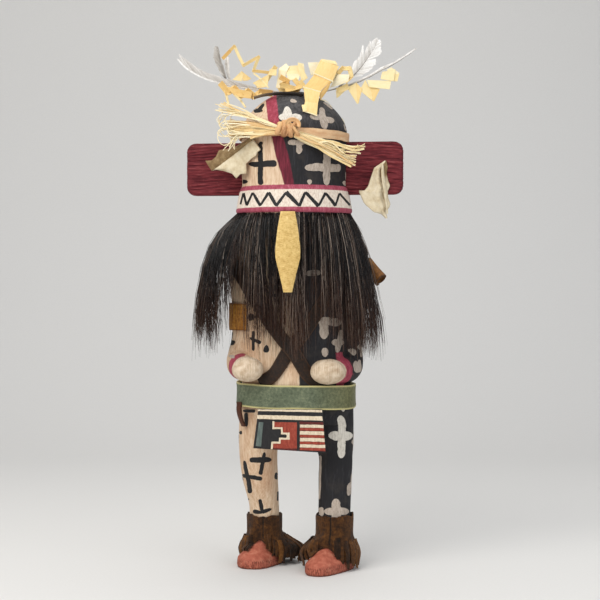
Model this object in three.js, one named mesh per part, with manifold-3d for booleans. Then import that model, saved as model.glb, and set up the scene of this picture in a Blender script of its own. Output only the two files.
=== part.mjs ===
// A carved and painted kachina doll with a helmet mask, slab ears, horsehair beard,
// crossed bandoliers, belt, sash panel, fringed moccasin cuffs and a crown of folded
// cornhusk and feathers. Millimetres, +Z up, the doll looks along -Y.
import * as THREE from "three";
import { mergeVertices } from "three/addons/utils/BufferGeometryUtils.js";
import Module from "manifold-3d";

const wasm = await Module();
wasm.setup();

// ---------------------------------------------------------------- driving sizes
const GAP = 0.3; // clearance between touching pieces
const TURN = 7; // degrees the body is turned towards -X

const MASK = { x: -0.8, radius: 24.9, wallTop: 205.7, dome: 19.4, base: 152 };
const COLLAR = { bottom: 167.6, top: 179, bottomRadius: 27.5, topRadius: 25.4 };
const EAR = { bottom: 176.2, top: 200.9, reach: 51.3, thick: 5, corner: 4.2 };

// height, half width, half depth of the trunk
const TRUNK = [
  [69, 24.4, 14.0],
  [77, 26.2, 17.4],
  [88, 25.7, 18.2],
  [100, 24.8, 18.5],
  [116, 24.2, 17.8],
  [136, 25.0, 17.2],
  [152, 26.0, 17.6],
  [162, 25.4, 19.0],
  [169, 23.0, 20.5],
];
const TRUNK_POWER = 2.3;

const ARM = { shoulder: 6.9, upper: 6.3, elbow: 6.9, wrist: 5.9 };
const ARMS = {
  left: [
    [-25.0, 0.5, 155],
    [-25.2, 1.0, 143],
    [-24.1, 1.0, 125],
    [-24.2, 0.8, 108],
    [-25.8, -2.0, 98.5],
    [-25.4, -10.0, 96.2],
    [-22.6, -18.5, 95.6],
  ],
  right: [
    [25.0, 0.5, 155],
    [25.4, 1.0, 143],
    [25.2, 1.0, 125],
    [25.2, 0.8, 106],
    [24.6, -2.5, 96.0],
    [21.6, -10.5, 94.4],
    [15.4, -18.5, 94.3],
  ],
};
const HANDS = {
  left: { at: [-22.1, -20.8, 95.5], half: [7.3, 6.2, 5.8], turn: 0 },
  right: { at: [14.6, -20.8, 94.3], half: [8.2, 6.0, 5.8], turn: 12 },
};

// path of the leg's axis and its half widths
const LEGS = {
  left: {
    path: [
      [-15.4, 1.0, 78],
      [-17.9, 3.0, 56],
      [-17.1, 5.6, 43],
      [-15.4, 9.0, 29],
      [-15.2, 11.8, 10],
    ],
    half: [11.2, 9.2, 8.6, 7.2, 7.3],
    foot: { at: [-15.6, 12.0], toe: 18.2, heel: 9.2, half: 9.5, turn: 15 },
  },
  right: {
    path: [
      [15.8, 0.5, 78],
      [18.8, 0.0, 53],
      [18.5, -0.2, 42],
      [18.25, -0.5, 29],
      [18.1, -1.0, 10],
    ],
    half: [11.6, 8.0, 7.8, 7.7, 7.6],
    foot: { at: [18.6, -1.0], toe: 22.3, heel: 9.2, half: 8.9, turn: 26 },
  },
};
// height, share of the toe length, share of the half width
const FOOT_RISE = [
  [0, 0.97, 0.96],
  [1.0, 1.0, 1.0],
  [4.4, 0.98, 0.98],
  [6.2, 0.88, 0.9],
  [8.8, 0.66, 0.8],
  [11.6, 0.42, 0.76],
  [15, 0.36, 0.74],
];

const BELT = { bottom: 77, top: 88, half: 28.15, depth: 20.5, x: 0.15 };
const SASH = { top: 76.2, bottom: 58.2, topHalf: 14.8, bottomHalf: 16.6, x: -3.0, front: 21.4, thick: 1.6, drop: 1.0 };
const STRAP = { width: 6.4, thick: 1.2, half: 32.4, depth: 19.3, power: 1.75 };
const BEARD = { top: 167.1, thick: 3.2, from: -86, to: 66 };
const TONGUE = { top: 167.1, bottom: 131, wide: 11.5, topWide: 6.4, tipWide: 3.6, x: -3.6, thick: 1.0 };
const CUFFS = {
  left: { x: -15.3, y: 11.4, top: 24.2, topHalf: 8.0, out: 10.6, inner: 17.2, front: 8.8, back: 11.5, hem: 4.4, frontHem: 11.6, side: 1 },
  right: { x: 18.2, y: -0.9, top: 25.6, topHalf: 8.6, out: 10.7, inner: 14.8, front: 10.5, back: 12.0, hem: 4.4, frontHem: 10.4, side: -1 },
};

// ---------------------------------------------------------------- small tools
const rad = THREE.MathUtils.degToRad;
const V = (x, y, z) => new THREE.Vector3(x, y, z);
const lerp = THREE.MathUtils.lerp;
const group = new THREE.Group();

// Smooth value from a table whose first column is the key.
function table(rows, key, column) {
  if (key <= rows[0][0]) return rows[0][column];
  for (let i = 1; i < rows.length; i++) {
    const a = rows[i - 1],
      b = rows[i];
    if (key <= b[0]) {
      const t = (key - a[0]) / (b[0] - a[0]);
      return lerp(a[column], b[column], t * t * (3 - 2 * t) * 0.5 + t * 0.5);
    }
  }
  return rows[rows.length - 1][column];
}

// A closed geometry as a manifold solid.
function solid(geometry) {
  const bare = new THREE.BufferGeometry();
  const flat = geometry.index ? geometry.toNonIndexed() : geometry;
  bare.setAttribute("position", flat.getAttribute("position").clone());
  const merged = mergeVertices(bare, 1e-4);
  const index = merged.index.array,
    kept = [];
  for (let i = 0; i < index.length; i += 3) {
    const [a, b, c] = [index[i], index[i + 1], index[i + 2]];
    if (a !== b && b !== c && c !== a) kept.push(a, b, c);
  }
  return new wasm.Manifold(
    new wasm.Mesh({
      numProp: 3,
      vertProperties: new Float32Array(merged.attributes.position.array),
      triVerts: new Uint32Array(kept),
    }),
  );
}

function geometryOf(body) {
  const mesh = body.getMesh(),
    n = mesh.numProp,
    position = new Float32Array(mesh.numVert * 3);
  for (let i = 0; i < mesh.numVert; i++)
    position.set(mesh.vertProperties.subarray(i * n, i * n + 3), i * 3);
  const g = new THREE.BufferGeometry();
  g.setAttribute("position", new THREE.BufferAttribute(position, 3));
  g.setIndex(new THREE.BufferAttribute(new Uint32Array(mesh.triVerts), 1));
  g.computeVertexNormals();
  return g;
}

const join = (...bodies) => bodies.reduce((a, b) => a.add(b));

// What is left of a body after cuts, without loose crumbs.
function cut(body, ...tools) {
  const left = tools.reduce((a, b) => a.subtract(b), body);
  return left
    .decompose()
    .reduce((a, b) => (b.volume() > a.volume() ? b : a));
}

function add(name, body, colour, roughness, metalness = 0) {
  const mesh = new THREE.Mesh(
    geometryOf(body),
    new THREE.MeshStandardMaterial({ color: colour, roughness, metalness }),
  );
  mesh.name = name;
  group.add(mesh);
  return body;
}

// A cylinder reshaped: at(angle, t) is the surface, with angle 0 at -Y and 90 at +X.
function skin(around, up, at, centre) {
  const g = new THREE.CylinderGeometry(1, 1, 1, around, up);
  const p = g.getAttribute("position");
  for (let i = 0; i < p.count; i++) {
    const t = p.getY(i) + 0.5,
      spread = Math.hypot(p.getX(i), p.getZ(i)),
      angle = Math.atan2(p.getX(i), p.getZ(i));
    const q = spread < 0.5 ? centre(t) : at(angle, t);
    p.setXYZ(i, q.x, q.y, q.z);
  }
  return solid(g);
}

// Half-axis section of rounded-square outline.
function outline(angle, half, depth, power) {
  const s = Math.sin(angle),
    c = Math.cos(angle);
  const r = Math.pow(
    Math.pow(Math.abs(s) / half, power) + Math.pow(Math.abs(c) / depth, power),
    -1 / power,
  );
  return [r * s, -r * c];
}

function turned(x, y, degrees) {
  const a = rad(degrees);
  return [x * Math.cos(a) - y * Math.sin(a), x * Math.sin(a) + y * Math.cos(a)];
}

// A limb along a curve with a round section.
function limb(path, halves, grow, around = 16, up = 10) {
  const curve = new THREE.CatmullRomCurve3(path.map((p) => V(...p)));
  const half = (t) => {
    const s = t * (halves.length - 1),
      i = Math.min(Math.floor(s), halves.length - 2);
    return lerp(halves[i], halves[i + 1], s - i) + grow;
  };
  const centre = (t) => {
    const c = curve.getPoint(THREE.MathUtils.clamp(t, 0, 1)),
      d = curve.getTangent(THREE.MathUtils.clamp(t, 0, 1));
    return c.addScaledVector(d, t < 0.001 ? -grow : t > 0.999 ? grow : 0);
  };
  return skin(
    around,
    up,
    (angle, t) => {
      const T = curve.getTangent(THREE.MathUtils.clamp(t, 0, 1)).normalize();
      const S = V(1, 0, 0).addScaledVector(T, -T.x).normalize();
      const F = S.clone().cross(T);
      const r = half(t);
      return centre(t)
        .addScaledVector(S, r * Math.sin(angle))
        .addScaledVector(F, r * Math.cos(angle));
    },
    centre,
  );
}

// A straight strip of leather or husk between two points, with its face towards `face`.
function strip(a, b, width, thick, face, over = 0) {
  const T = b.clone().sub(a),
    length = T.length();
  T.normalize();
  const N = face.clone().addScaledVector(T, -face.dot(T)).normalize();
  const W = N.clone().cross(T);
  const g = new THREE.BoxGeometry(width, thick, length + 2 * over);
  g.applyMatrix4(
    new THREE.Matrix4()
      .makeBasis(W, N, T)
      .setPosition(a.clone().add(b).multiplyScalar(0.5)),
  );
  return solid(g);
}

// A strip folded at each of its points.
function folded(points, width, thick, face, over) {
  const legs = [];
  for (let i = 1; i < points.length; i++)
    legs.push(
      strip(V(...points[i - 1]), V(...points[i]), width, thick, V(...face), over ?? width * 0.3),
    );
  return join(...legs);
}

// A flat piece cut to an outline in X and Z, `thick` deep, centred on y = 0.
function cutout(points, thick) {
  const shape = new THREE.Shape(points.map(([x, z]) => new THREE.Vector2(x, z)));
  const g = new THREE.ExtrudeGeometry(shape, { depth: thick, bevelEnabled: false, curveSegments: 6 });
  g.translate(0, 0, -thick / 2);
  g.rotateX(Math.PI / 2);
  return g;
}

// ---------------------------------------------------------------- the carving
function maskBody(g) {
  const { radius: R, wallTop, dome, base } = MASK;
  const profile = [
    [0, base - g],
    [21 + g, base - g],
    [22.5 + g, 164],
    [COLLAR.bottomRadius - 0.6, COLLAR.bottom - g],
    [COLLAR.bottomRadius + g, COLLAR.bottom + 0.6],
    [COLLAR.topRadius + 0.15 + g, COLLAR.top - 0.4],
    [R + 0.1 + g, COLLAR.top + 0.5 + g],
    [R - 0.3 + g, COLLAR.top + 1.4 + g],
    [R + g, 192],
    [R + g, wallTop],
  ];
  for (const a of [18, 36, 52, 66, 79]) {
    const r = R * Math.cos(rad(a));
    const z = wallTop + dome * Math.pow(1 - Math.pow(r / R, 1.8), 1 / 1.6);
    profile.push([r + g * Math.cos(rad(a)), z + g]);
  }
  profile.push([0, wallTop + dome + g]);
  const lathe = new THREE.LatheGeometry(
    profile.map(([r, z]) => new THREE.Vector2(r, z)),
    32,
  );
  lathe.rotateX(Math.PI / 2);
  lathe.translate(MASK.x, 0, 0);
  return solid(lathe);
}

function trunkBody(g) {
  const from = TRUNK[0][0],
    to = TRUNK[TRUNK.length - 1][0];
  const height = (t) => lerp(from - g, to + g, t);
  return skin(
    26,
    8,
    (angle, t) => {
      const z = height(t);
      const [x, y] = outline(angle, table(TRUNK, z, 1) + g, table(TRUNK, z, 2) + g, TRUNK_POWER);
      const [u, v] = turned(x, y, -TURN);
      return V(u, v, z);
    },
    (t) => V(0, 0, height(t)),
  );
}

function armBody(side, g) {
  const { shoulder, upper, elbow, wrist } = ARM;
  return limb(ARMS[side], [shoulder, shoulder, upper, upper, elbow, wrist + 0.3, wrist], g, 11, 8);
}

function handBody(side, g) {
  const { at, half, turn } = HANDS[side];
  const ball = new THREE.SphereGeometry(1, 12, 7);
  ball.scale(half[0] + g, half[1] + g, half[2] + g);
  ball.rotateZ(rad(turn));
  ball.translate(...at);
  return solid(ball);
}

function legBody(side, g) {
  return limb(LEGS[side].path, LEGS[side].half, g, 16, 6);
}

function footBody(side, g) {
  const f = LEGS[side].foot;
  const rows = FOOT_RISE.length - 1;
  const level = (t) => FOOT_RISE[Math.round(t * rows)];
  const height = (t) => level(t)[0] + (t < 0.01 ? 0 : g);
  const place = (x, y, z) => {
    const [u, v] = turned(x, y, -f.turn);
    return V(f.at[0] + u, f.at[1] + v, z);
  };
  return skin(
    20,
    rows,
    (angle, t) => {
      const [, toeShare, halfShare] = level(t);
      const front = Math.cos(angle) > 0;
      const [x, y] = outline(
        angle,
        f.half * halfShare + g,
        (front ? f.toe * toeShare : f.heel * lerp(1, 0.9, t)) + g,
        front ? 2.5 : 2.1,
      );
      return place(x, y, height(t));
    },
    (t) => place(0, 0, height(t)),
  );
}

function figure(g) {
  return join(
    maskBody(g),
    trunkBody(g),
    armBody("left", g),
    armBody("right", g),
    handBody("left", g),
    handBody("right", g),
    legBody("left", g),
    legBody("right", g),
    footBody("left", g),
    footBody("right", g),
  );
}

const carving = figure(0);
const around = figure(GAP);
add("carved_figure", carving, 0xd9c4a4, 0.75);

// ---------------------------------------------------------------- ears
function earSlab(side) {
  const s = side === "left" ? -1 : 1;
  const { bottom, top, reach, thick, corner } = EAR;
  const shape = new THREE.Shape();
  shape.moveTo(22, bottom);
  shape.lineTo(reach - corner, bottom);
  shape.quadraticCurveTo(reach, bottom, reach, bottom + corner);
  shape.lineTo(reach, top - corner);
  shape.quadraticCurveTo(reach, top, reach - corner, top);
  shape.lineTo(22, top);
  const g = new THREE.ExtrudeGeometry(shape, {
    depth: thick - 0.8,
    bevelEnabled: true,
    bevelThickness: 0.4,
    bevelSize: 0.4,
    bevelOffset: -0.4,
    bevelSegments: 1,
    curveSegments: 5,
  });
  g.translate(0, 0, -(thick - 0.8) / 2);
  g.rotateX(Math.PI / 2);
  if (s < 0) g.rotateZ(Math.PI);
  g.rotateZ(rad(-TURN));
  g.translate(MASK.x, 0, 0);
  return cut(solid(g), around);
}
add("left_ear_slab", earSlab("left"), 0x6e1419, 0.8);
add("right_ear_slab", earSlab("right"), 0x6e1419, 0.8);

// ---------------------------------------------------------------- hide pendants
// Each is a leaf of hide folded once, so a second, narrower leaf lies on its edge.
function leftPendant() {
  const leaf = cutout(
    [[-20.1, 202.4], [-16.8, 196.6], [-22.6, 189.6], [-22.8, 185.2], [-27.2, 184.5], [-37.2, 187.6], [-42.2, 190.8], [-31, 196.8]],
    1.2,
  );
  leaf.translate(29.4, 0, 0);
  leaf.scale(1.2, 1, 1);
  leaf.rotateZ(rad(-34));
  leaf.translate(-29.6, -12.2, 0);
  return cut(solid(leaf), around);
}
function rightPendant() {
  const leaf = cutout(
    [[41.3, 191.5], [35.6, 187.1], [29.1, 177.8], [31.2, 172.3], [37.1, 167.7], [41.7, 165.2], [43.6, 170.8], [41.9, 178.2], [43.6, 180.5], [42.2, 188]],
    1.3,
  );
  leaf.translate(-37, 0, 0);
  leaf.rotateZ(rad(-4));
  leaf.translate(37, -8.5, 0);
  return solid(leaf);
}
add("left_ear_pendant", leftPendant(), 0xd8c7a0, 0.8);
add("right_ear_pendant", rightPendant(), 0xd8c7a0, 0.8);

// ---------------------------------------------------------------- tongue and beard
function tongue() {
  const { top, bottom, wide, topWide, tipWide, x, thick } = TONGUE;
  const steps = 12,
    right = [],
    left = [];
  for (let i = 0; i <= steps; i++) {
    const t = i / steps;
    const w = t < 0.55 ? lerp(topWide, wide, Math.sin((t / 0.55) * (Math.PI / 2))) : lerp(wide, tipWide, (t - 0.55) / 0.45);
    const z = lerp(top, bottom, t);
    right.push([x + w / 2, z]);
    left.unshift([x - w / 2, z]);
  }
  const g = cutout([...right, ...left], thick);
  g.translate(0, 0, -top);
  g.rotateX(rad(-5));
  g.translate(0, -27.9, top);
  return solid(g);
}
add("tongue_pendant", tongue(), 0xd9b25c, 0.45, 0.3);

// Outer half widths of the hair from the collar down: height, viewer's left, viewer's right, front.
const HAIR = [
  [105, 48.5, 42.6, 28.6],
  [118, 47.2, 41.0, 28.6],
  [131, 44.8, 37.6, 28.4],
  [145, 40.6, 34.4, 28.0],
  [157, 33.9, 30.6, 27.4],
  [167.1, 26.4, 26.2, 26.2],
];
function beard() {
  const around_ = 22,
    down = 5;
  const g = new THREE.BoxGeometry(1, 1, 1, around_, 1, down);
  const p = g.getAttribute("position");
  for (let i = 0; i < p.count; i++) {
    const a = rad(lerp(BEARD.from, BEARD.to, p.getX(i) + 0.5)),
      outer = p.getY(i) < 0 ? 1 : 0,
      t = 0.5 - p.getZ(i);
    const hem = 107 + 3.5 * Math.abs(Math.sin(a)) + 1.6 * Math.cos(a * 9);
    const z = lerp(BEARD.top, hem, t);
    const half = table(HAIR, z, a < 0 ? 1 : 2),
      front = table(HAIR, z, 3);
    const lump = 0.5 * Math.cos(a * 13 + 2 * t) * t;
    const inset = outer ? 0 : lerp(3.6, BEARD.thick - 0.8, t);
    const [x, y] = outline(a, half - inset + lump, front - inset + lump, 2);
    p.setXYZ(i, x + MASK.x * (1 - t), y, z);
  }
  return cut(solid(g), around);
}
add("horsehair_beard", beard(), 0x1c1614, 0.5);

// ---------------------------------------------------------------- bandoliers
// A strap runs from the belt up across the chest, round the outer shoulder and down the
// back. Its line is given by height against angle round the body (0 at the front).
const STRAP_LINE = [
  // angle, height, extra stand-off
  [-47, 88.6, 0],
  [-30, 93.0, 0],
  [-9, 104.2, 0],
  [12, 112.6, 0],
  [38, 127, 0],
  [62, 143, 0],
  [80, 149.4, 0.4],
  [98, 149.8, 0.6],
  [116, 143.5, 0.2],
  [140, 128, 0],
  [172, 107, 0],
  [200, 93.5, 0],
  [214, 88.6, 0],
];
function strapBody(mirror, lift, grow) {
  const n = 24;
  const key = new THREE.CatmullRomCurve3(
    STRAP_LINE.map(([a, z, e]) => V(a, z, e)),
    false,
    "centripetal",
  );
  const point = (t) => {
    const k = key.getPoint(THREE.MathUtils.clamp(t, 0, 1));
    const crossing = (d) => Math.exp(-(d * d) / 160) * lift;
    const extra = k.z + crossing(k.x + 9) + crossing(k.x - 172);
    const a = rad(mirror ? -k.x - 14 : k.x);
    const [x, y] = outline(a, STRAP.half + extra, STRAP.depth + extra, STRAP.power);
    return V(x, y, k.y);
  };
  const g = new THREE.BoxGeometry(1, 1, 1, 1, 1, n);
  const p = g.getAttribute("position");
  for (let i = 0; i < p.count; i++) {
    const t = p.getZ(i) + 0.5;
    const c = point(t),
      T = point(Math.min(1, t + 0.01)).sub(point(Math.max(0, t - 0.01))).normalize();
    const out = V(c.x / (STRAP.half * STRAP.half), c.y / (STRAP.depth * STRAP.depth), 0.0001).normalize();
    if (Math.abs(c.x) > 26) out.z += 0.35;
    const N = out.addScaledVector(T, -out.dot(T)).normalize();
    const W = N.clone().cross(T);
    c.addScaledVector(W, p.getX(i) * (STRAP.width + 2 * grow));
    c.addScaledVector(N, p.getY(i) * (STRAP.thick + 2 * grow));
    p.setXYZ(i, c.x, c.y, c.z);
  }
  return solid(g);
}
const underStrap = (g) => strapBody(false, 0, g);
const upperStrap = (g) => strapBody(true, 1.9, g);

function beltRing(g) {
  const { bottom, top, half, depth, x } = BELT;
  const height = (t) => lerp(bottom - g, top + g, t);
  return skin(
    36,
    1,
    (angle, t) => {
      const [a, b] = outline(angle, half + g, depth + g, 2.6);
      const [u, v] = turned(a, b, -TURN);
      return V(x + u, v, height(t) - 0.018 * u);
    },
    (t) => V(x, 0, height(t)),
  );
}

const under = cut(underStrap(0), around, beltRing(GAP));
const upper = cut(upperStrap(0), around, beltRing(GAP), underStrap(GAP));
add("bandolier_under", under, 0x3a2012, 0.75);
add("bandolier_upper", upper, 0x3a2012, 0.75);
add("belt", cut(beltRing(0), around), 0x6f7a58, 0.6);

// ---------------------------------------------------------------- arm band and roll
function armBand() {
  const at = (z) => {
    const [a, b] = [ARMS.left[2], ARMS.left[3]];
    const t = (z - a[2]) / (b[2] - a[2]);
    return [lerp(a[0], b[0], t), lerp(a[1], b[1], t)];
  };
  const height = (t) => lerp(112.6, 125.2, t);
  const body = skin(
    24,
    1,
    (angle, t) => {
      const [cx, cy] = at(height(t));
      return V(cx + (ARM.upper + 1.35) * Math.sin(angle), cy - (ARM.upper + 1.35) * Math.cos(angle), height(t) - 0.05 * Math.sin(angle) * 6);
    },
    (t) => V(...at(height(t)), height(t)),
  );
  return cut(body, around);
}
add("arm_band", armBand(), 0xa8741f, 0.7);

function leatherRoll() {
  const shape = new THREE.Shape();
  shape.absarc(0, 0, 3.7, 0, Math.PI * 2);
  const hole = new THREE.Path();
  hole.absarc(0.2, 0, 2.5, 0, Math.PI * 2, true);
  shape.holes.push(hole);
  const from = V(34.4, 6.2, 146.2),
    to = V(41.6, 7.0, 137.2);
  const g = new THREE.ExtrudeGeometry(shape, { depth: from.distanceTo(to), bevelEnabled: false, curveSegments: 9 });
  const T = to.clone().sub(from).normalize();
  const S = V(0, 1, 0).addScaledVector(T, -T.y).normalize();
  g.applyMatrix4(new THREE.Matrix4().makeBasis(S, T.clone().cross(S), T).setPosition(from));
  return cut(solid(g), around, underStrap(GAP), upperStrap(GAP));
}
add("leather_roll", leatherRoll(), 0x70451f, 0.7);

// ---------------------------------------------------------------- sash panel
function sashPanel() {
  const { top, bottom, topHalf, bottomHalf, front, thick, drop } = SASH;
  const g = cutout(
    [[-topHalf, top], [-bottomHalf, bottom + drop], [bottomHalf, bottom - drop], [topHalf, top]],
    thick,
  );
  g.translate(0, -(front - thick / 2), 0);
  g.rotateZ(rad(-TURN));
  g.translate(0.2, 0.6, 0);
  return cut(solid(g), around, beltRing(GAP));
}
add("sash_panel", sashPanel(), 0x9c3a26, 0.7);

// ---------------------------------------------------------------- moccasin cuffs
function cuff(c) {
  const half = (angle, t) => {
    const s = Math.sin(angle) * c.side,
      f = Math.cos(angle);
    const side = s > 0 ? c.inner : c.out,
      ends = f > 0 ? c.front : c.back;
    const hem = Math.pow(Math.pow(Math.abs(s) / side, 2) + Math.pow(Math.abs(f) / ends, 2), -0.5);
    const flare = Math.pow(t, 1.5);
    return lerp(c.topHalf, hem, flare) + 0.45 * Math.cos(angle * 11) * flare;
  };
  const height = (angle, t) => {
    const f = Math.max(0, Math.cos(angle + 0.25));
    return lerp(c.top, lerp(c.hem, c.frontHem, f * f), t) + 0.4 * Math.cos(angle * 7) * t;
  };
  return cut(
    skin(
      18,
      3,
      (angle, t) => V(c.x + half(angle, 1 - t) * Math.sin(angle), c.y - half(angle, 1 - t) * Math.cos(angle), height(angle, 1 - t)),
      (t) => V(c.x, c.y, t > 0.5 ? c.top : c.hem + 1),
    ),
    around,
  );
}
add("left_cuff", cuff(CUFFS.left), 0x3e2512, 0.9);
add("right_cuff", cuff(CUFFS.right), 0x3e2512, 0.9);

// ---------------------------------------------------------------- raffia tie and headband
const KNOT = { at: [-4.0, -27.6, 204.4], half: [5.2, 3.0, 4.0] };
function knot(g) {
  const ball = new THREE.SphereGeometry(1, 12, 7);
  ball.scale(KNOT.half[0] + g, KNOT.half[1] + g, KNOT.half[2] + g);
  ball.rotateY(rad(-18));
  ball.translate(...KNOT.at);
  return solid(ball);
}
// A frayed end: a wedge that widens and ends in points.
function frayed(root, points, thick, turn) {
  const g = cutout(points.map(([x, z]) => [x - root[0], z]), thick);
  g.rotateZ(rad(turn));
  g.translate(root[0], root[1], 0);
  return solid(g);
}
function tie() {
  const left = frayed(
    [-4, -28, 0],
    [[-6, 206.6], [-21, 212.6], [-33.5, 217.2], [-29, 212.4], [-38, 211.4], [-31, 206.6], [-38, 203.4], [-29, 201.4], [-32.4, 196.4], [-20, 200.2], [-6, 202.2]],
    1.6,
    -12,
  );
  const right = frayed(
    [-4, -28, 0],
    [[-2, 206.2], [8, 203.2], [18, 200.0], [30, 197.6], [24.5, 194.8], [31, 192.8], [22.5, 191.6], [27, 188.0], [17, 191.2], [6, 197.4], [-2, 201.6]],
    1.6,
    8,
  );
  return cut(join(knot(0), left, right), around);
}
add("raffia_tie", tie(), 0xd9c48c, 0.8);

function headband() {
  const ring = (r, g) =>
    skin(
      28,
      1,
      (angle, t) => {
        const x = r * Math.sin(angle),
          y = -r * Math.cos(angle);
        return V(MASK.x + x, y, lerp(201.5 - g, 205.6 + g, t) + 0.01 * x);
      },
      (t) => V(MASK.x, 0, lerp(201.5 - g, 205.6 + g, t)),
    );
  return cut(ring(MASK.radius + 1.15, 0), around, knot(GAP));
}
const band = headband();
add("husk_headband", band, 0xc79c62, 0.75);

// ---------------------------------------------------------------- crown of cornhusk
const front = [0, -1, 0];
add(
  "husk_zigzag_left",
  cut(
    folded(
      [[-34, -8.4, 240.1], [-28.2, -8.4, 244.9], [-24.3, -8.4, 236.2], [-16.9, -8.4, 240.1], [-19.7, -8.4, 233.2], [-11.9, -8.4, 232.4], [-15.8, -8.4, 227.9], [-10.6, -8.4, 225.2]],
      2.2,
      1.0,
      front,
      0.7,
    ),
    around,
  ),
  0xe8cf7a,
  0.7,
);
add(
  "husk_fold_left",
  cut(
    folded(
      [[-31.7, -6.6, 219.4], [-34.2, -6.6, 226.4], [-26.6, -6.6, 222.6], [-25.6, -6.6, 231.2], [-19.4, -6.6, 222.4], [-10.4, -6.6, 224.8]],
      3.8,
      1.0,
      front,
      0.8,
    ),
    around,
  ),
  0xe8b54e,
  0.7,
);
add(
  "husk_cluster",
  cut(
    folded(
      [[-6.8, -7.4, 224.9], [-5.0, -9.6, 234.8], [-2.6, -7.0, 225.5], [0.2, -9.4, 235.4], [3.0, -7.0, 225.2]],
      6.4,
      1.0,
      [1, -0.5, 0],
      0.3,
    ),
    around,
  ),
  0xeedb96,
  0.7,
);
const frontHusk = (g) =>
  folded([[15.4, -8.6, 236.8], [7.8, -14.4, 223.3], [6.4, -23.4, 213.2]], 8.0 + 2 * g, 1.1 + 2 * g, [0.25, -1, 0.35], 0.4 + g);
add("husk_fold_front", cut(frontHusk(0), around), 0xf0c768, 0.65);
add(
  "husk_fold_right",
  cut(
    folded(
      [[13.2, -4.6, 222.6], [18.8, -4.6, 221.8], [27.6, -4.6, 227.2], [29.2, -4.6, 219.6], [32.3, -4.6, 228.6], [36.3, -4.6, 220.6], [42.6, -4.6, 225.6], [43.9, -4.6, 232.6]],
      4.2,
      1.0,
      front,
      0.9,
    ),
    around,
  ),
  0xf0df96,
  0.7,
);

// ---------------------------------------------------------------- feathers
// A vane along a curve in X and Z: `half(t)` is the half width, t = 0 at the quill.
function feather(path, half, thick, y, steps = 12) {
  const curve = new THREE.CatmullRomCurve3(path.map(([x, z]) => V(x, 0, z)));
  const a = [],
    b = [];
  for (let i = 0; i <= steps; i++) {
    const t = i / steps,
      c = curve.getPoint(t),
      d = curve.getTangent(t),
      n = [-d.z, d.x],
      w = half(t);
    a.push([c.x + n[0] * w, c.z + n[1] * w]);
    b.unshift([c.x - n[0] * w, c.z - n[1] * w]);
  }
  const outline_ = [...a, ...b];
  if (!THREE.ShapeUtils.isClockWise(outline_.map(([x, z]) => new THREE.Vector2(x, z)))) outline_.reverse();
  const g = cutout(outline_, thick);
  g.translate(0, y, 0);
  return cut(solid(g), around);
}
const leaf = (quill, vane, start) => (t) =>
  t < start ? quill : lerp(quill, vane, Math.sin(Math.min(1, (t - start) / (1 - start)) * Math.PI * 0.93) ** 0.6);

add(
  "feather_long_left",
  feather([[-10.8, 225.0], [-20, 227.2], [-33, 230.2], [-44, 235.2], [-54.6, 241.2]], leaf(0.55, 3.4, 0.36), 0.8, -4.6, 14),
  0x9a9690,
  0.7,
);
add("feather_small_a", feather([[-29.6, 227.2], [-34.2, 233.6], [-37.0, 245.2]], leaf(0.5, 2.0, 0.12), 0.7, -3.2), 0xb4b0a8, 0.7);
add("feather_small_b", feather([[-26.2, 226.6], [-29.6, 231], [-31.2, 238.6]], leaf(0.5, 1.6, 0.12), 0.7, -2.0), 0xb4b0a8, 0.7);
add("feather_upright_right", feather([[15.2, 219.9], [26.0, 232.4], [32.0, 241], [38.6, 250]], leaf(0.55, 3.0, 0.28), 0.7, -0.6), 0xd6d6d8, 0.7);
add("feather_long_right", feather([[8.4, 223.9], [22, 227.4], [40, 236.4], [60.4, 246.6]], leaf(0.6, 1.25, 0.2), 0.8, -2.6), 0x9d9a94, 0.7);

const bindingPath = new THREE.CatmullRomCurve3([V(-19.4, -10.0, 220.6), V(-10, -11.4, 222.2), V(-1, -12.6, 222.3), V(3.6, -12.8, 221.6)]);
const thread = new THREE.Shape();
thread.absarc(0, 0, 0.75, 0, Math.PI * 2);
add(
  "quill_binding",
  cut(
    solid(new THREE.ExtrudeGeometry(thread, { steps: 8, extrudePath: bindingPath, curveSegments: 4, bevelEnabled: false })),
    around,
    frontHusk(GAP),
  ),
  0x1b1715,
  0.6,
);

// ---------------------------------------------------------------- the frame
// Soles at z = 0, the outline's box centred on the axis.
const bounds = new THREE.Box3().setFromObject(group);
const middle = bounds.getCenter(new THREE.Vector3());
group.position.set(-middle.x, -middle.y, -bounds.min.z);

export default group;
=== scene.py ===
import math

import bmesh
import bpy
import numpy as np
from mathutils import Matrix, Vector
from mathutils.bvhtree import BVHTree


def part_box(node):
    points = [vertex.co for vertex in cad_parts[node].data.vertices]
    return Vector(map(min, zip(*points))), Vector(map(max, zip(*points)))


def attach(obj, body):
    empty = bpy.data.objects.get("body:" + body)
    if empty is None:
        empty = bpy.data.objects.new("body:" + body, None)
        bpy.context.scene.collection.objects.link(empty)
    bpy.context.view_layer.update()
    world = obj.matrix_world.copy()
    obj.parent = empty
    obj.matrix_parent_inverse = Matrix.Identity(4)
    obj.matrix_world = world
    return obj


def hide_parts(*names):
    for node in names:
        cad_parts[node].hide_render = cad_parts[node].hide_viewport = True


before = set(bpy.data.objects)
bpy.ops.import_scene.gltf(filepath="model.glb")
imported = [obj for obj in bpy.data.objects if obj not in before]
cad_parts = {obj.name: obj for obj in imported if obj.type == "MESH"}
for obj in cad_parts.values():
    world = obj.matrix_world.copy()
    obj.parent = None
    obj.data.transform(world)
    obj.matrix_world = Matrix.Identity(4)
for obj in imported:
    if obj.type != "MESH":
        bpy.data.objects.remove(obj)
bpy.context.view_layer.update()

# A carved and painted kachina doll. Lengths below are millimetres in the doll's own
# frame: x to the viewer's right, y away from the viewer, z up, soles at z = 0.
_lo, _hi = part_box("husk_headband")
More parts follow.
